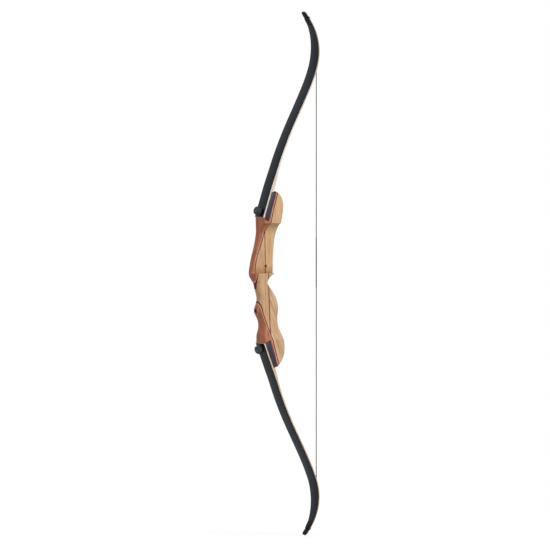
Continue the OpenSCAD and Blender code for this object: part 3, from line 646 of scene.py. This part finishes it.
def dress(obj, material, nodes=(), body=None, between=None):
    """Gives a piece its material, the nodes it stands for, and what carries it."""
    obj.data.materials.clear()
    obj.data.materials.append(MATERIALS[material])
    if nodes:
        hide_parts(*nodes)
    if between:
        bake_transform(obj)
    else:
        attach(obj, body)


# ---- Riser: one form, with the sight window cut in its sections, parted into laminations

FRONT_KNOTS = [
    (LS - 80, BUTT_X["lower"] + 3.2 + 80 * tan(PAD_ANGLE["lower"])),
    (LS, BUTT_X["lower"] + 3.2),
    (LS + 11, -19.1), (LS + 22, -20.3), (LS + 45, -16.9), (LS * 0.674, -18.1),
    (LS * 0.611, -22), (LS * 0.543, -29.4), (LS * 0.48, -35.9), (LS * 0.423, -36.4),
    (LS * 0.343, -31.7), (LS * 0.28, -29.3), (LS * 0.211, -30.2), (LS * 0.143, -33.9),
    (LS * 0.08, -37.6), (LS * 0.011, -39.9), (SHELF_Z - 18.7, -46), (SHELF_Z - 7.7, -49.9),
    (SHELF_Z + 4.3, -48.1), (SHELF_Z + 15.3, -45.3), (SHELF_Z + 27.3, -42.9),
    (US * 0.41, -37), (US * 0.53, -30.3), (US * 0.649, -25), (US - 44, -21.5), (US - 20, -21.4),
    (US, BUTT_X["upper"] + 3.2),
    (US + 80, BUTT_X["upper"] + 3.2 + 80 * tan(PAD_ANGLE["upper"])),
]
BACK_KNOTS = [
    (LS - 72, 18), (LS - 69, 25), (LS - 61, 34.9), (LS - 49, 44.5), (LS - 27, 53.6),
    (LS - 15, 54.3), (LS + 8, 52), (LS + 20, 48.3), (LS + 32, 42.5), (LS + 44, 36.5),
    (LS * 0.68, 33.6), (LS * 0.554, 32.6), (LS * 0.417, 35.2), (LS * 0.286, 31),
    (LS * 0.217, 25.7), (LS * 0.154, 18.4), (LS * 0.086, 9.8), (LS * 0.04, 3.4), (0, 0),
    (SHELF_Z - 19.7, 2.6), (SHELF_Z - 8.7, 13), (SHELF_Z - 1.5, 23.6), (SHELF_Z + 5, 25),
    (SHELF_Z + 14.3, 25.2), (US * 0.405, 25.7), (US * 0.524, 27.8), (US * 0.644, 30.6),
    (US * 0.763, 35.8), (US - 22, 40.6), (US, 45.6), (US + 24, 49.9), (US + 36, 49.6),
    (US + 47, 47), (US + 59, 40.5), (US + 69, 30), (US + 74, 20),
]
THROAT_HALF, BODY_HALF, GRIP_R, SWELL_R, EAR_R, FRONT_R = 15.5, 23.0, 10.0, 13.0, 12.0, 3.0
GRIP_W = [
    (LS - 80, PAD_HALF), (LS + 8, PAD_HALF), (LS + 25, PAD_HALF - 2.6),
    (LS * 0.663, THROAT_HALF + 2.5), (LS * 0.48, THROAT_HALF + 2), (LS * 0.229, THROAT_HALF + 0.5),
]
NEAR_W = GRIP_W + [
    (0, THROAT_HALF), (SHELF_Z, 16.7), (WINDOW_TOP, PAD_HALF - 4), (US - 14, PAD_HALF - 0.2),
    (US, PAD_HALF), (US + 80, PAD_HALF),
]
FAR_W = GRIP_W + [
    (-12, THROAT_HALF + 0.5), (0, THROAT_HALF + 1.5), (10, THROAT_HALF + 3.5),
    (SHELF_Z - 8, BODY_HALF - 1), (SHELF_Z + 8, BODY_HALF), (SHELF_Z + 30, BODY_HALF),
    (WINDOW_TOP + 10, BODY_HALF), (US - 14, PAD_HALF), (US, PAD_HALF), (US + 80, PAD_HALF),
]
FRONT_ROUND = [
    (LS - 80, FRONT_R), (LS + 20, FRONT_R), (LS * 0.663, GRIP_R * 0.6),
    (LS * 0.526, SWELL_R - 2), (LS * 0.446, SWELL_R), (LS * 0.2, SWELL_R + 1),
    (SHELF_Z - 8.7, SWELL_R - 1), (SHELF_Z + 8, FRONT_R + 3), (US * 0.312, FRONT_R + 1),
    (US * 0.467, FRONT_R), (US * 0.54, FRONT_R), (US + 80, FRONT_R),
]
BACK_ROUND = [
    (LS - 80, EAR_R * 0.5), (LS - 60, EAR_R * 0.8), (LS - 30, EAR_R), (LS + 10, EAR_R),
    (LS * 0.68, GRIP_R), (LS * 0.5, GRIP_R), (0, GRIP_R), (SHELF_Z - 8, SWELL_R),
    (SHELF_Z, SWELL_R), (SHELF_Z + 8, GRIP_R * 0.7), (SHELF_Z + 18, GRIP_R * 0.5),
    (SHELF_Z + 30, GRIP_R * 0.5), (WINDOW_TOP, EAR_R * 0.5), (US, EAR_R), (US + 40, EAR_R),
    (US + 60, EAR_R * 0.8), (US + 72, EAR_R * 0.5),
]
WINDOW_EDGE_R, SHELF_EDGE_R, SHELF_FILLET_R = 2.5, 2.0, 3.0
RISER_TOP, RISER_BOTTOM = US + 74, LS - 72
END_EDGE, RUN_OUT_SOFT, SHELF_GAP = 0.9, 1.6, 0.03
CORNER_STEPS, FLAT_STEPS = 9, 4


def riser_ring(z, near=None, cut=0.0, inset=0.0):
    """A section; near is its near side's distance, and cut says how far it is the window's."""
    front, back = curve(FRONT_KNOTS, z) + inset, curve(BACK_KNOTS, z) - inset
    far, own_near = curve(FAR_W, z) - inset, curve(NEAR_W, z) - inset
    near = own_near if near is None else near
    most = min(own_near, far) - 1
    fr = min(curve(FRONT_ROUND, z), most)
    br = min(curve(BACK_ROUND, z), most)
    room = min(1.0, (back - front - 0.5) / (fr + br))
    fr, br = fr * room, br * room
    near_fr = fr + (WINDOW_EDGE_R - fr) * cut
    near_br = br + (WINDOW_EDGE_R - br) * cut
    corners = (
        (back - br, far - br, br, 0), (front + fr, far - fr, fr, 90),
        (front + near_fr, near_fr - near, near_fr, 180),
        (back - near_br, near_br - near, near_br, 270),
    )
    points = []
    for x, y, r, start in corners:
        for i in range(CORNER_STEPS + 1):
            a = radians(start + 90 * i / CORNER_STEPS)
            points.append((x + r * cos(a), y + r * sin(a), z))
    ring = []
    for i, p in enumerate(points):
        ring.append(p)
        if i % (CORNER_STEPS + 1) == CORNER_STEPS:
            q = points[(i + 1) % len(points)]
            ring += [tuple(a + (b - a) * k / FLAT_STEPS for a, b in zip(p, q))
                     for k in range(1, FLAT_STEPS)]
    return ring


def riser_form():
    rings = [riser_ring(RISER_BOTTOM, inset=END_EDGE), riser_ring(RISER_BOTTOM + END_EDGE)]
    rings += [riser_ring(z) for z in steps(RISER_BOTTOM + 2.5, SHELF_Z - SHELF_EDGE_R, 118)]
    for turn in map(radians, range(15, 91, 15)):
        z = SHELF_Z - SHELF_EDGE_R * (1 - sin(turn))
        rings.append(riser_ring(z, curve(NEAR_W, z) - SHELF_EDGE_R * (1 - cos(turn))))
    for turn in map(radians, range(0, 91, 15)):
        z = SHELF_Z + SHELF_GAP + SHELF_FILLET_R * (1 - cos(turn))
        rings.append(riser_ring(z, SHELF_FILLET_R * (1 - sin(turn)) - WINDOW_Y, 1.0))
    rings += [riser_ring(z, -WINDOW_Y, 1.0)
              for z in steps(SHELF_Z + SHELF_FILLET_R + 2, WINDOW_TOP, 44)]
    for z in steps(WINDOW_TOP + 1.5, WINDOW_TOP + RUN_OUT_R + 2, 36):
        own = curve(NEAR_W, z)
        rise = min(z - WINDOW_TOP, RUN_OUT_R)
        arc = RUN_OUT_R - WINDOW_Y - sqrt(RUN_OUT_R ** 2 - rise ** 2)
        soft = max(RUN_OUT_SOFT - abs(arc - own), 0) / RUN_OUT_SOFT
        near = min(arc, own) - soft * soft * RUN_OUT_SOFT / 4
        rings.append(riser_ring(z, near, 1 - ease((near + WINDOW_Y) / (own + WINDOW_Y))))
    rings += [riser_ring(z) for z in steps(WINDOW_TOP + RUN_OUT_R + 4, RISER_TOP - 2, 40)]
    rings += [riser_ring(RISER_TOP - END_EDGE), riser_ring(RISER_TOP, inset=END_EDGE)]
    return loft("riser_form", rings)


def inner_share(end, along):
    """0 at the pocket's outer end, and 1 at its inner end."""
    return (POCKET_OUT - along) / (POCKET_OUT + BLOCK_IN[end])


def block_back(end, along):
    """The depth of the pocket block's back face behind the pad."""
    return LIMB_PROUD + POCKET_BLOCK_T + BLOCK_WEDGE[end] * inner_share(end, along)


def accent_on_pad(end, along):
    """The accent stripe's middle line behind the pocket block, as (z, x)."""
    depth = (block_back(end, along) + UNDER_OUTER_T + ACCENT_T / 2
             + (UNDER_T[end] - UNDER_OUTER_T) * inner_share(end, along))
    x, h = pad(end, along, depth)
    return (place(end, x, 0, h).z, x)


ACCENT_LINES = {
    "upper": [
        (-32, -38), (-20, -38), (-10, -38.6), (SHELF_Z - 20.7, -40), (SHELF_Z - 10.7, -40),
        (SHELF_Z - 0.7, -38.6), (SHELF_Z + 15.3, -36.9), (US * 0.389, -31), (US * 0.545, -20),
        (US * 0.706, -9), (US - 40.6, -4.4), (US - 20.6, 0.8),
        *(accent_on_pad("upper", along) for along in (30, 60, 110)),
    ],
    "lower": [
        *(accent_on_pad("lower", along) for along in (110, 40, -2)),
        (LS + 30, 1), (LS + 44, -4.5), (LS * 0.623, -12.9), (LS * 0.503, -20.6),
        (LS * 0.423, -25), (LS * 0.366, -27.8), (LS * 0.297, -31.5), (LS * 0.229, -36),
    ],
}
FRONT_LIMITS = {"upper": (-32, US + 87), "lower": (LS - 87, LS * 0.229)}


def front_area(end, back_by):
    """Everything in front of an accent stripe's middle line, moved back by a distance."""
    line, (low, high) = ACCENT_LINES[end], FRONT_LIMITS[end]
    edge = []
    for z in steps(low, high, 110):
        a = atan(curve(line, z + 0.5) - curve(line, z - 0.5))
        edge.append((curve(line, z) + back_by * cos(a), z - back_by * sin(a)))
    return side_plate("front_area", edge + [(-REACH, high), (-REACH, low)])


def stripe_band(start, stop):
    """A leaning slab between two distances behind the straight stripe's middle."""
    c, s = cos(STRIPE_LEAN), sin(STRIPE_LEAN)
    return side_plate("band", [
        (x * c - z * s - STRIPE_FRONT, x * s + z * c)
        for x, z in ((start, -TALL), (stop, -TALL), (stop, TALL), (start, TALL))])


def in_row(end, outline):
    """An outline of (x, h) points as (x, z) in the row's frame."""
    return [tuple(place(end, x, 0, h).xz) for x, h in outline]


def block_area(end, to):
    """The pocket block's outline, up to a distance along the pad."""
    inner = -BLOCK_IN[end]
    return in_row(end, [
        pad(end, inner, LIMB_PROUD), pad(end, to, LIMB_PROUD),
        pad(end, to, block_back(end, to)), pad(end, inner, block_back(end, inner))])


def pad_space(end):
    """The room over the pocket block, which the limb takes."""
    front, back = -REACH / 2, LIMB_PROUD + 0.01
    return in_row(end, [pad(end, 0, front), pad(end, PAST_POCKET, front),
                        pad(end, PAST_POCKET, back), pad(end, 0, back)])


def drill(origin, axis, radius, length):
    return lathe("drill", [(0, 0), (radius, 0), (radius, length), (0, length)],
                 frame_at(origin, axis))


STABILIZER_Z, STABILIZER_X, STABILIZER_L = -80.0, -37.022, 20.0
STABILIZER_R, STABILIZER_BORE_R = 6.0, 3.5
REST_Z, REST_FAR, REST_R, REST_BORE_R = 49.0, 23.087, 5.25, 3.5
SIGHT_FAR, SIGHT_R, SIGHT_BORE_R, SIGHT_L = 22.914, 3.5, 1.9, 10.0
SIGHT_PLACES = (78.0, 111.3)


def make_riser():
    form = riser_form()
    lines = (ACCENT_T / 2, -ACCENT_T / 2, -ACCENT_T / 2 - VENEER_T)
    areas = {e: [front_area(e, back_by) for back_by in lines] for e in ENDS}
    spare = 8
    stabilizer = drill((STABILIZER_X - spare, 0, STABILIZER_Z), (1, 0, 0), STABILIZER_R,
                       STABILIZER_L + spare)
    across = [drill((0, -DRILL_FAR, REST_Z), (0, 1, 0), REST_R, 2 * DRILL_FAR)]
    across += [drill((0, SIGHT_FAR - SIGHT_L, z), (0, 1, 0), SIGHT_R, DRILL_OUT)
               for z in SIGHT_PLACES]
    behind = add_object("behind", form.data.copy())
    cut(behind, areas["upper"][0], areas["lower"][0])

    def part(name, source, keep, remove, material, slot, *nodes):
        """What of the source lies in all of keep and in none of remove."""
        piece = add_object(name, source.data.copy())
        cut(piece, *keep, how="INTERSECT")
        cut(piece, *remove)
        dress(piece, material, nodes, "riser")

    for e in ENDS:
        block = side_plate("block", block_area(e, PAST_POCKET))
        space = side_plate("space", pad_space(e))
        bores = [stabilizer] if e == "lower" else []
        stripe_back, veneer_back, veneer_front = areas[e]
        part(f"{e}_front_block_wood", form, [veneer_front], [block, space] + bores,
             "hardwood", "red_hardwood", f"{e}_front_block")
        part(f"{e}_accent_veneer", form, [veneer_back], [veneer_front, block, space] + bores,
             "veneer", "maple")
        part(f"{e}_accent_stripe_wood", form, [stripe_back], [veneer_back] + bores,
             "purple", "purple_stripe", f"{e}_accent_stripe")
        discard(block, space)
    grip_side = stripe_band(-REACH, -STRIPE_T / 2)
    stripe = stripe_band(-STRIPE_T / 2, STRIPE_T / 2)
    back_side = stripe_band(STRIPE_T / 2, REACH)
    upper_half = side_plate("half", [(-REACH, 0), (REACH, 0), (REACH, TALL), (-REACH, TALL)])
    part("riser_grip_wood", behind, [grip_side], [stabilizer] + across,
         "maple_grip", "maple", "riser_grip_block")
    part("riser_stripe_wood", behind, [stripe], across,
         "purple", "purple_stripe", "riser_centre_stripe")
    part("riser_upper_back_wood", behind, [back_side, upper_half], across,
         "maple_back", "maple", "riser_upper_back_block")
    part("riser_lower_back_wood", behind, [back_side], [upper_half],
         "maple_foot", "maple", "riser_lower_back_block")
    discard(form, behind, stabilizer, grip_side, stripe, back_side, upper_half,
            *across, *areas["upper"], *areas["lower"])


def make_pocket_block(end):
    block = side_plate(f"{end}_pocket_block_wood", block_area(end, POCKET_OUT), PAD_HALF)
    floor_end = pad(end, 2 * POCKET_OUT, LIMB_BASE_T)
    channel = side_plate("channel", in_row(end, [
        pad(end, -LIMB_GAP, -LIMB_PROUD), pad(end, -LIMB_GAP, LIMB_BUTT_T), floor_end,
        pad(end, 2 * POCKET_OUT, -LIMB_PROUD)]), LIMB_HALF + LIMB_GAP)
    cut(block, channel)
    discard(channel)
    bevel(block, 0.5)
    dress(block, "laminate", [f"{end}_pocket_block"], "riser")


# ---- Limbs: four strips each, from the butt outwards

BEND_FROM, BEND_TO, BEND_DEPTH = 275.0, 415.0, 2.0
TIP_END_GAP, SECTION_STEP = 1.1, 4.0
OVERLAY_RISE, OVERLAY_ROUND, OVERLAY_EDGE = 14.0, 7.0, 1.1


def limb_stations(low, high):
    """Heights of a strip's sections, closer together round the tip's end."""
    last = TIP_H - TIP_END_GAP
    turn = last - TIP_ROUND - 3
    tip = [turn + (last - turn) * sin(a) for a in map(radians, range(10, 91, 10))]
    count = round((turn - low) / SECTION_STEP)
    return [h for h in steps(low, turn, count) + tip if h <= high]


def strip_ring(end, h, front, back, front_round=0.0, back_round=0.0):
    """A strip's section between two depths, with its edges rounded at the front and back."""
    turns = [radians(a) for a in (0, 30, 60, 90)]
    outline = []
    for r, depth, way in ((front_round, front, 1), (back_round, back, -1)):
        half = limb_half_w(limb_at(end, h, depth)[1])
        r = min(r, (back - front) * 0.9)
        arc = [(half - r + r * cos(a), depth + way * r * (1 - sin(a))) for a in turns]
        if r == 0:
            arc = [(half, depth)]
        outline.append(arc)
    right = outline[0][::-1] + outline[1]
    full = right + [(-y, depth) for y, depth in reversed(right)]
    return [limb_point(end, h, depth, y) for y, depth in full]


def overlay_t(h):
    """The tip overlay's thickness, which grows at its start and is rounded off at the end."""
    start = TIP_H - OVERLAY_L
    round_off = max(0.0, (h - TIP_H + OVERLAY_ROUND) / OVERLAY_ROUND)
    rise = ease((h - start) / OVERLAY_RISE)
    return OVERLAY_T * (0.04 + 0.96 * rise) * (1 - 0.7 * round_off ** 2)


def groove_tools(end):
    """Drills for the string grooves in both sides of the tip, two deep on each side."""
    lean = face_lean(end, NOCK_H)
    axis = (cos(lean), 0, -WAY[end] * sin(lean))
    sides = (-NOCK_HALF, -NOCK_HALF + GROOVE_IN, NOCK_HALF - GROOVE_IN, NOCK_HALF)
    return [drill(limb_point(end, NOCK_H, -DRILL_OUT, y), axis, GROOVE_R, 2 * DRILL_OUT)
            for y in sides]


def make_limb(end):
    joint = ("riser", f"{end}_limb", limb_point(end, BEND_FROM, BEND_DEPTH) * MM,
             limb_point(end, BEND_TO, BEND_DEPTH) * MM)
    core_back = LIMB_MID_T - GLASS_T
    origin, *_, out = bolt_frame(end)
    bolt_hole = drill(origin - out * DRILL_FAR, out, BOLT_R + BOLT_CLEARANCE, 2 * DRILL_FAR)
    grooves = groove_tools(end)
    layers = (
        ("back_strip", TIP_H, lambda h: 0.0, lambda h: GLASS_T, (0.5, 0), "glass", "limb_glass",
         ("limb_base_back_glass", "limb_back_glass")),
        ("core_strip", TIP_H, lambda h: GLASS_T,
         lambda h: min(core_back, limb_t(end, h) - GLASS_T), (0, 0), f"core_{end}",
         "limb_core", ("limb_base_core", "limb_core")),
        ("wedge_strip", WEDGE_END_H, lambda h: core_back, lambda h: limb_t(end, h) - GLASS_T,
         (0, 0), f"core_{end}", "limb_core", ("limb_wedge",)),
        ("belly_strip", TIP_H, lambda h: limb_t(end, h) - GLASS_T, lambda h: limb_t(end, h),
         (0, 0.5), "belly_glass", "limb_glass", ("limb_base_belly_glass", "limb_belly_glass")),
    )
    for label, high, front, back, rounds, material, slot, nodes in layers:
        rings = [strip_ring(end, h, front(h), back(h), *rounds)
                 for h in limb_stations(BUTT_H[end], high)]
        strip = loft(f"{end}_limb_{label}", rings)
        cut(strip, bolt_hole)
        if high == TIP_H:
            cut(strip, *grooves)
        dress(strip, material, [f"{end}_{n}" for n in nodes], between=joint)

    start = TIP_H - OVERLAY_L
    heights = [start + d for d in steps(0, OVERLAY_RISE, 10)]
    heights += limb_stations(start + OVERLAY_RISE + 2, TIP_H)
    rings = [strip_ring(end, h, -overlay_t(h), 0.0,
                        OVERLAY_EDGE * ease((h - start) / OVERLAY_RISE + 0.1)) for h in heights]
    overlay = loft(f"{end}_tip_cap", rings)
    across = drill(limb_point(end, NOCK_H + 0.4, -OVERLAY_T - 0.2, -DRILL_OUT),
                   (0, 1, 0), ACROSS_R, 2 * DRILL_OUT)
    cut(overlay, *grooves, across)
    dress(overlay, "overlay", [f"{end}_tip_overlay"], f"{end}_limb")
    discard(bolt_hole, across, *grooves)


# ---- Limb bolts

# The dish in a knob's top: radius and depth under the top
KNOB_DISH = ((7.6, 0.02), (7.2, 0.05), (6.9, 0.35), (6.5, 0.5), (3, 0.55), (0, 0.55))
WASHER_EDGE, WASHER_BORE, WASHER_GAP = 0.4, BOLT_R + 0.08, 0.02


def make_limb_bolt(end):
    axes = bolt_frame(end)
    top = WASHER_T + KNOB_H
    profile = [(0, WASHER_T), (KNOB_R - 2.5, WASHER_T), (KNOB_R - 1, WASHER_T),
               (KNOB_R - 0.3, WASHER_T + 0.3), (KNOB_R, WASHER_T + 1)]
    inner, low = KNOB_R - KNOB_SHOULDER, top - KNOB_SHOULDER
    profile += [(KNOB_R, z) for z in steps(WASHER_T + 2, low, 5)]
    profile += [(inner + KNOB_SHOULDER * cos(a), low + KNOB_SHOULDER * sin(a))
                for a in map(radians, range(8, 73, 8))]
    profile += [(r, top - depth) for r, depth in KNOB_DISH]

    def fluted(angle, r, z):
        wave = abs(cos(angle * KNOB_FLUTES / 2)) ** 6
        return r - FLUTE_DEPTH * wave * ease((r - FLUTE_FROM_R) / 2.5)

    dress(lathe(f"{end}_knob_grip", profile, axes, KNOB_FLUTES * 10, fluted),
          "knob", [f"{end}_knob"], f"{end}_limb_bolt")
    ring = [(WASHER_BORE, WASHER_GAP), (WASHER_R - WASHER_EDGE, WASHER_GAP),
            (WASHER_R, WASHER_EDGE), (WASHER_R, WASHER_T - WASHER_EDGE),
            (WASHER_R - WASHER_EDGE, WASHER_T - WASHER_GAP),
            (WASHER_BORE, WASHER_T - WASHER_GAP)]
    dress(lathe(f"{end}_washer_ring", ring, axes, 64, hollow=True),
          "washer", [f"{end}_bolt_washer"], f"{end}_washer")
    foot = -LIMB_BUTT_T - INSERT_L - 1
    shank = [(0, foot), (BOLT_R - 1.2, foot)]
    shank += [(BOLT_R, z) for z in steps(foot + 1, WASHER_T - 2, 150)]
    shank += [(BOLT_R - 0.05, WASHER_T + 2), (0, WASHER_T + 2)]

    def threaded(angle, r, z):
        if r < BOLT_R or z > WASHER_T - 3:
            return r
        turn = (z / THREAD_PITCH - angle / (2 * pi)) % 1.0
        return r - THREAD_DEPTH * abs(2 * turn - 1) * ease((z - foot) / 3)

    dress(lathe(f"{end}_bolt_shank", shank, axes, 32, threaded, sharp=70),
          "bolt", [f"{end}_bolt"], f"{end}_limb_bolt")


# ---- Bushings

BUSH_EDGE, BUSH_MOUTH, BUSH_PROUD = 0.3, 0.5, 0.3
BUSH_THREAD_DEPTH, BUSH_THREAD_HALF, BUSH_THREAD_FROM = 0.32, 0.45, 0.6


def threaded_bush(name, origin, axis, outer, bore, length, blind=0.0):
    """A ring with a thread in its bore; blind is the thickness of its closed end."""
    depth, edge = length - blind, BUSH_EDGE
    inside = [(bore + BUSH_MOUTH, 0)]
    inside += [(bore + (BUSH_THREAD_DEPTH if i % 2 else 0.0),
                BUSH_THREAD_FROM + i * BUSH_THREAD_HALF)
               for i in range(int((depth - 1) / BUSH_THREAD_HALF))]
    outside = [(outer, length - edge), (outer, edge), (outer - edge, 0)]
    if blind:
        profile = [(0, depth), (bore, depth)] + inside[::-1]
        profile += outside[::-1] + [(outer - edge, length), (0, length)]
    else:
        profile = inside + [(bore + BUSH_MOUTH, length), (outer - edge, length)] + outside
    return lathe(name, profile, frame_at(origin, axis), hollow=not blind, sharp=30)


def make_bushings():
    dress(threaded_bush("stabilizer_bush", (STABILIZER_X, 0, STABILIZER_Z), (1, 0, 0),
                        STABILIZER_R, STABILIZER_BORE_R, STABILIZER_L, blind=2.0),
          "bushing", ["stabilizer_bushing"], "riser")
    dress(threaded_bush("rest_bush", (0, WINDOW_Y - BUSH_PROUD, REST_Z), (0, 1, 0), REST_R,
                        REST_BORE_R, REST_FAR + 2 * BUSH_PROUD - WINDOW_Y),
          "brass", ["rest_bushing"], "riser")
    for name, z in zip(("lower", "upper"), SIGHT_PLACES):
        dress(threaded_bush(f"{name}_sight_bush", (0, SIGHT_FAR, z), (0, -1, 0), SIGHT_R,
                            SIGHT_BORE_R, SIGHT_L, blind=1.0),
              "brass", ["sight_bushings"], "riser")


# ---- String

THREAD_STEP = 0.6
WINDING_STEP, CORD_STEP = THREAD_STEP / 4, 1.6
# The share of the loop's blend between the lift-off place and the nock
NOCK_SHARE = 0.42


def wound(size, turns_per_mm=1 / THREAD_STEP, depth=0.09):
    """The radius of thread wound round a cord, turn on turn."""
    def radius(angle, run):
        turn = run * turns_per_mm - angle / (2 * pi)
        return size - depth * (0.5 - 0.5 * cos(2 * pi * turn))
    return radius


def twisted(size, strands=7, pitch=26.0, depth=0.14):
    """The radius of a bundle of strands with a slow twist."""
    def radius(angle, run):
        turn = strands * (angle - 2 * pi * run / pitch)
        return size - depth * (0.5 - 0.5 * cos(turn)) ** 2
    return radius


def loop_path(end):
    """The loop that lies in the tip's grooves: points (sideways, depth, above the groove)."""
    t, r = limb_t(end, NOCK_H), SERVING_R
    belly = t + r + STRING_GAP
    over = -OVERLAY_T - 0.1
    side = NOCK_HALF - GROOVE_IN - GROOVE_R + r - 0.35
    leg = (
        (0, belly, 1.6 * r - LOOP_L), (1.2 * r, belly, 2.6 * r - LOOP_L),
        (1.8 * r, belly, -LOOP_L * 0.66), (side * 0.56, belly, -LOOP_L * 0.46),
        (side * 0.78, belly, -LOOP_L * 0.27), (side * 0.99, belly + 0.1, -LOOP_L * 0.13),
        (side, belly - 0.3, -1),
        (side + 0.1, t * 0.8, 0), (side, 0, 0), (side, over * 0.5, 0),
        (side - 1.2, over - 0.1, 0.2), (side * 0.45, over, 0.4), (0, over, 0.4),
    )
    whole = leg + tuple((-y, depth, above) for y, depth, above in leg[-2:0:-1])
    return [limb_point(end, NOCK_H + above, depth, y) for y, depth, above in whole]


def make_string(end):
    lift = place(end, STRING_X, 0, LIFT_H)
    nock = limb_point(end, NOCK_H, limb_t(end, NOCK_H) / 2)
    bend = (f"{end}_limb", f"{end}_loop_end", (lift + (nock - lift) / NOCK_SHARE) * MM,
            lift * MM)

    points = loop_path(end)
    path, total = smooth_path(points, WINDING_STEP, closed=True)
    flat = (points[len(points) // 2] - points[0]).cross(Vector((0, 1, 0)))
    turns = round(total / THREAD_STEP) / total
    loop = tube(f"{end}_loop_serving", path, flat, wound(SERVING_R, turns), closed=True)
    dress(loop, "serving", [f"{end}_string_loop"], between=bend)

    top = NOCK_H - LOOP_L + 1.6 * SERVING_R
    on_limb = [limb_point(end, h, limb_t(end, h) + SERVING_R + STRING_GAP)
               for h in steps(LIFT_H, top, 16)]
    path, _ = smooth_path([lift] + on_limb[1:], WINDING_STEP)
    served = tube(f"{end}_end_cord", path, (0, 1, 0), wound(SERVING_R))
    dress(served, "serving", [f"{end}_string_end"], between=bend)

    up = Vector((0, 0, WAY[end]))
    nocking = Vector((STRING_X, 0, NOCKING_Z))
    spans = (
        ("cord", lift, nocking, twisted(STRING_R), CORD_STEP, 28, "string", "string"),
        ("end_thread", lift, lift - up * END_SERVING_L, wound(SERVING_R), WINDING_STEP, 14,
         "serving", "end_serving"),
        ("centre_thread", nocking + up * SERVING_REACH[end], nocking, wound(SERVING_R),
         WINDING_STEP, 14, "serving", "centre_serving"),
    )
    for label, start, stop, radius, spacing, around, material, node in spans:
        count = round((stop - start).length / spacing)
        points = [start.lerp(stop, i / count) for i in range(count + 1)]
        obj = tube(f"{end}_{label}", points, (0, 1, 0), radius, around)
        dress(obj, material, [f"{end}_{node}"], f"{end}_string_half")


make_riser()
make_bushings()
for end in ENDS:
    make_pocket_block(end)
    make_limb(end)
    make_limb_bolt(end)
    make_string(end)
for node, material in (("bolt_insert", "brass"), ("locating_pin", "pin")):
    for end in ENDS:
        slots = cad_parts[f"{end}_{node}"].data.materials
        slots.clear()
        slots.append(MATERIALS[material])

# ---- Floor, background and light


def seen_directly(tree):
    """1 where a camera, glossy or transmission ray looks, and 0 for light itself."""
    ray = add_node(tree, "LightPath").outputs
    some = maths(tree, "MAXIMUM", ray["Is Camera Ray"], ray["Is Glossy Ray"])
    return maths(tree, "MAXIMUM", some, ray["Is Transmission Ray"])


def mix_shaders(tree, share, a, b):
    return add_node(tree, "MixShader", {
        0: share, 1: a.outputs[0], 2: b.outputs[0]}).outputs[0]


FLOOR_GAP, FLOOR_HALF = 0.0005, 14.0
FLOOR_GLOW, FLOOR_FADE, WORLD_LIGHT = 1.5, (0.7, 1.6), 0.42


def add_floor():
    """A floor that takes the bow's shadow near it, and glows plain white further away."""
    height = cad_box[0][2] - FLOOR_GAP
    mesh = bpy.data.meshes.new("floor")
    corners = [(x * FLOOR_HALF, y * FLOOR_HALF, height)
               for x, y in ((-1, -1), (1, -1), (1, 1), (-1, 1))]
    mesh.from_pydata(corners, [], [(0, 1, 2, 3)])
    floor = add_object("floor", mesh)
    tree, shader = new_material("floor", Roughness=0.9, Specular_IOR_Level=0.1)
    vector = stretched(tree)
    speck = noise(tree, vector, 40, 3)
    tree.links.new(ramp(tree, speck, ((0.3, rgb(236, 236, 236)), (0.7, rgb(240, 240, 240)))),
                   shader.inputs["Base Color"])
    away = add_node(tree, "VectorMath", {0: vector}, operation="LENGTH").outputs["Value"]
    shown = maths(tree, "MULTIPLY", seen_directly(tree),
                  remap(tree, away, FLOOR_GLOW, 1.0, *FLOOR_FADE))
    glow = add_node(tree, "Emission", {"Color": WHITE, "Strength": shown})
    out = next(n for n in tree.nodes if n.type == "OUTPUT_MATERIAL")
    tree.links.new(mix_shaders(tree, remap(tree, away, 0.35, 1.0, *FLOOR_FADE), shader, glow),
                   out.inputs["Surface"])
    mesh.materials.append(MATERIALS["floor"])


def add_world():
    """An even light, which looks plain white to the camera and in reflections."""
    world = bpy.data.worlds.new("world")
    bpy.context.scene.world = world
    world.use_nodes = True
    tree = world.node_tree
    tree.nodes.clear()
    light, white = (add_node(tree, "Background", {"Color": WHITE, "Strength": level})
                    for level in (WORLD_LIGHT, 1.0))
    add_node(tree, "OutputWorld", {
        "Surface": mix_shaders(tree, seen_directly(tree), light, white)})


def add_light(name, towards, distance, size, power):
    """A square soft light that faces the bow's middle from the given direction."""
    way = Vector(towards).normalized()
    data = bpy.data.lights.new(name, "AREA")
    data.shape = "SQUARE"
    data.size = size
    data.energy = power
    lamp = add_object(name, data)
    lamp.matrix_world = way.to_track_quat("Z", "Y").to_matrix().to_4x4()
    lamp.location = way * distance


add_floor()
add_world()
add_light("key", (0.35, -1.0, 0.45), 3.2, 1.8, 61)
add_light("fill", (-1.0, -0.35, 0.25), 3.4, 2.4, 27)
add_light("rim", (0.6, 0.9, 0.7), 3.4, 1.8, 20)

bpy.context.scene.view_settings.view_transform = "Standard"
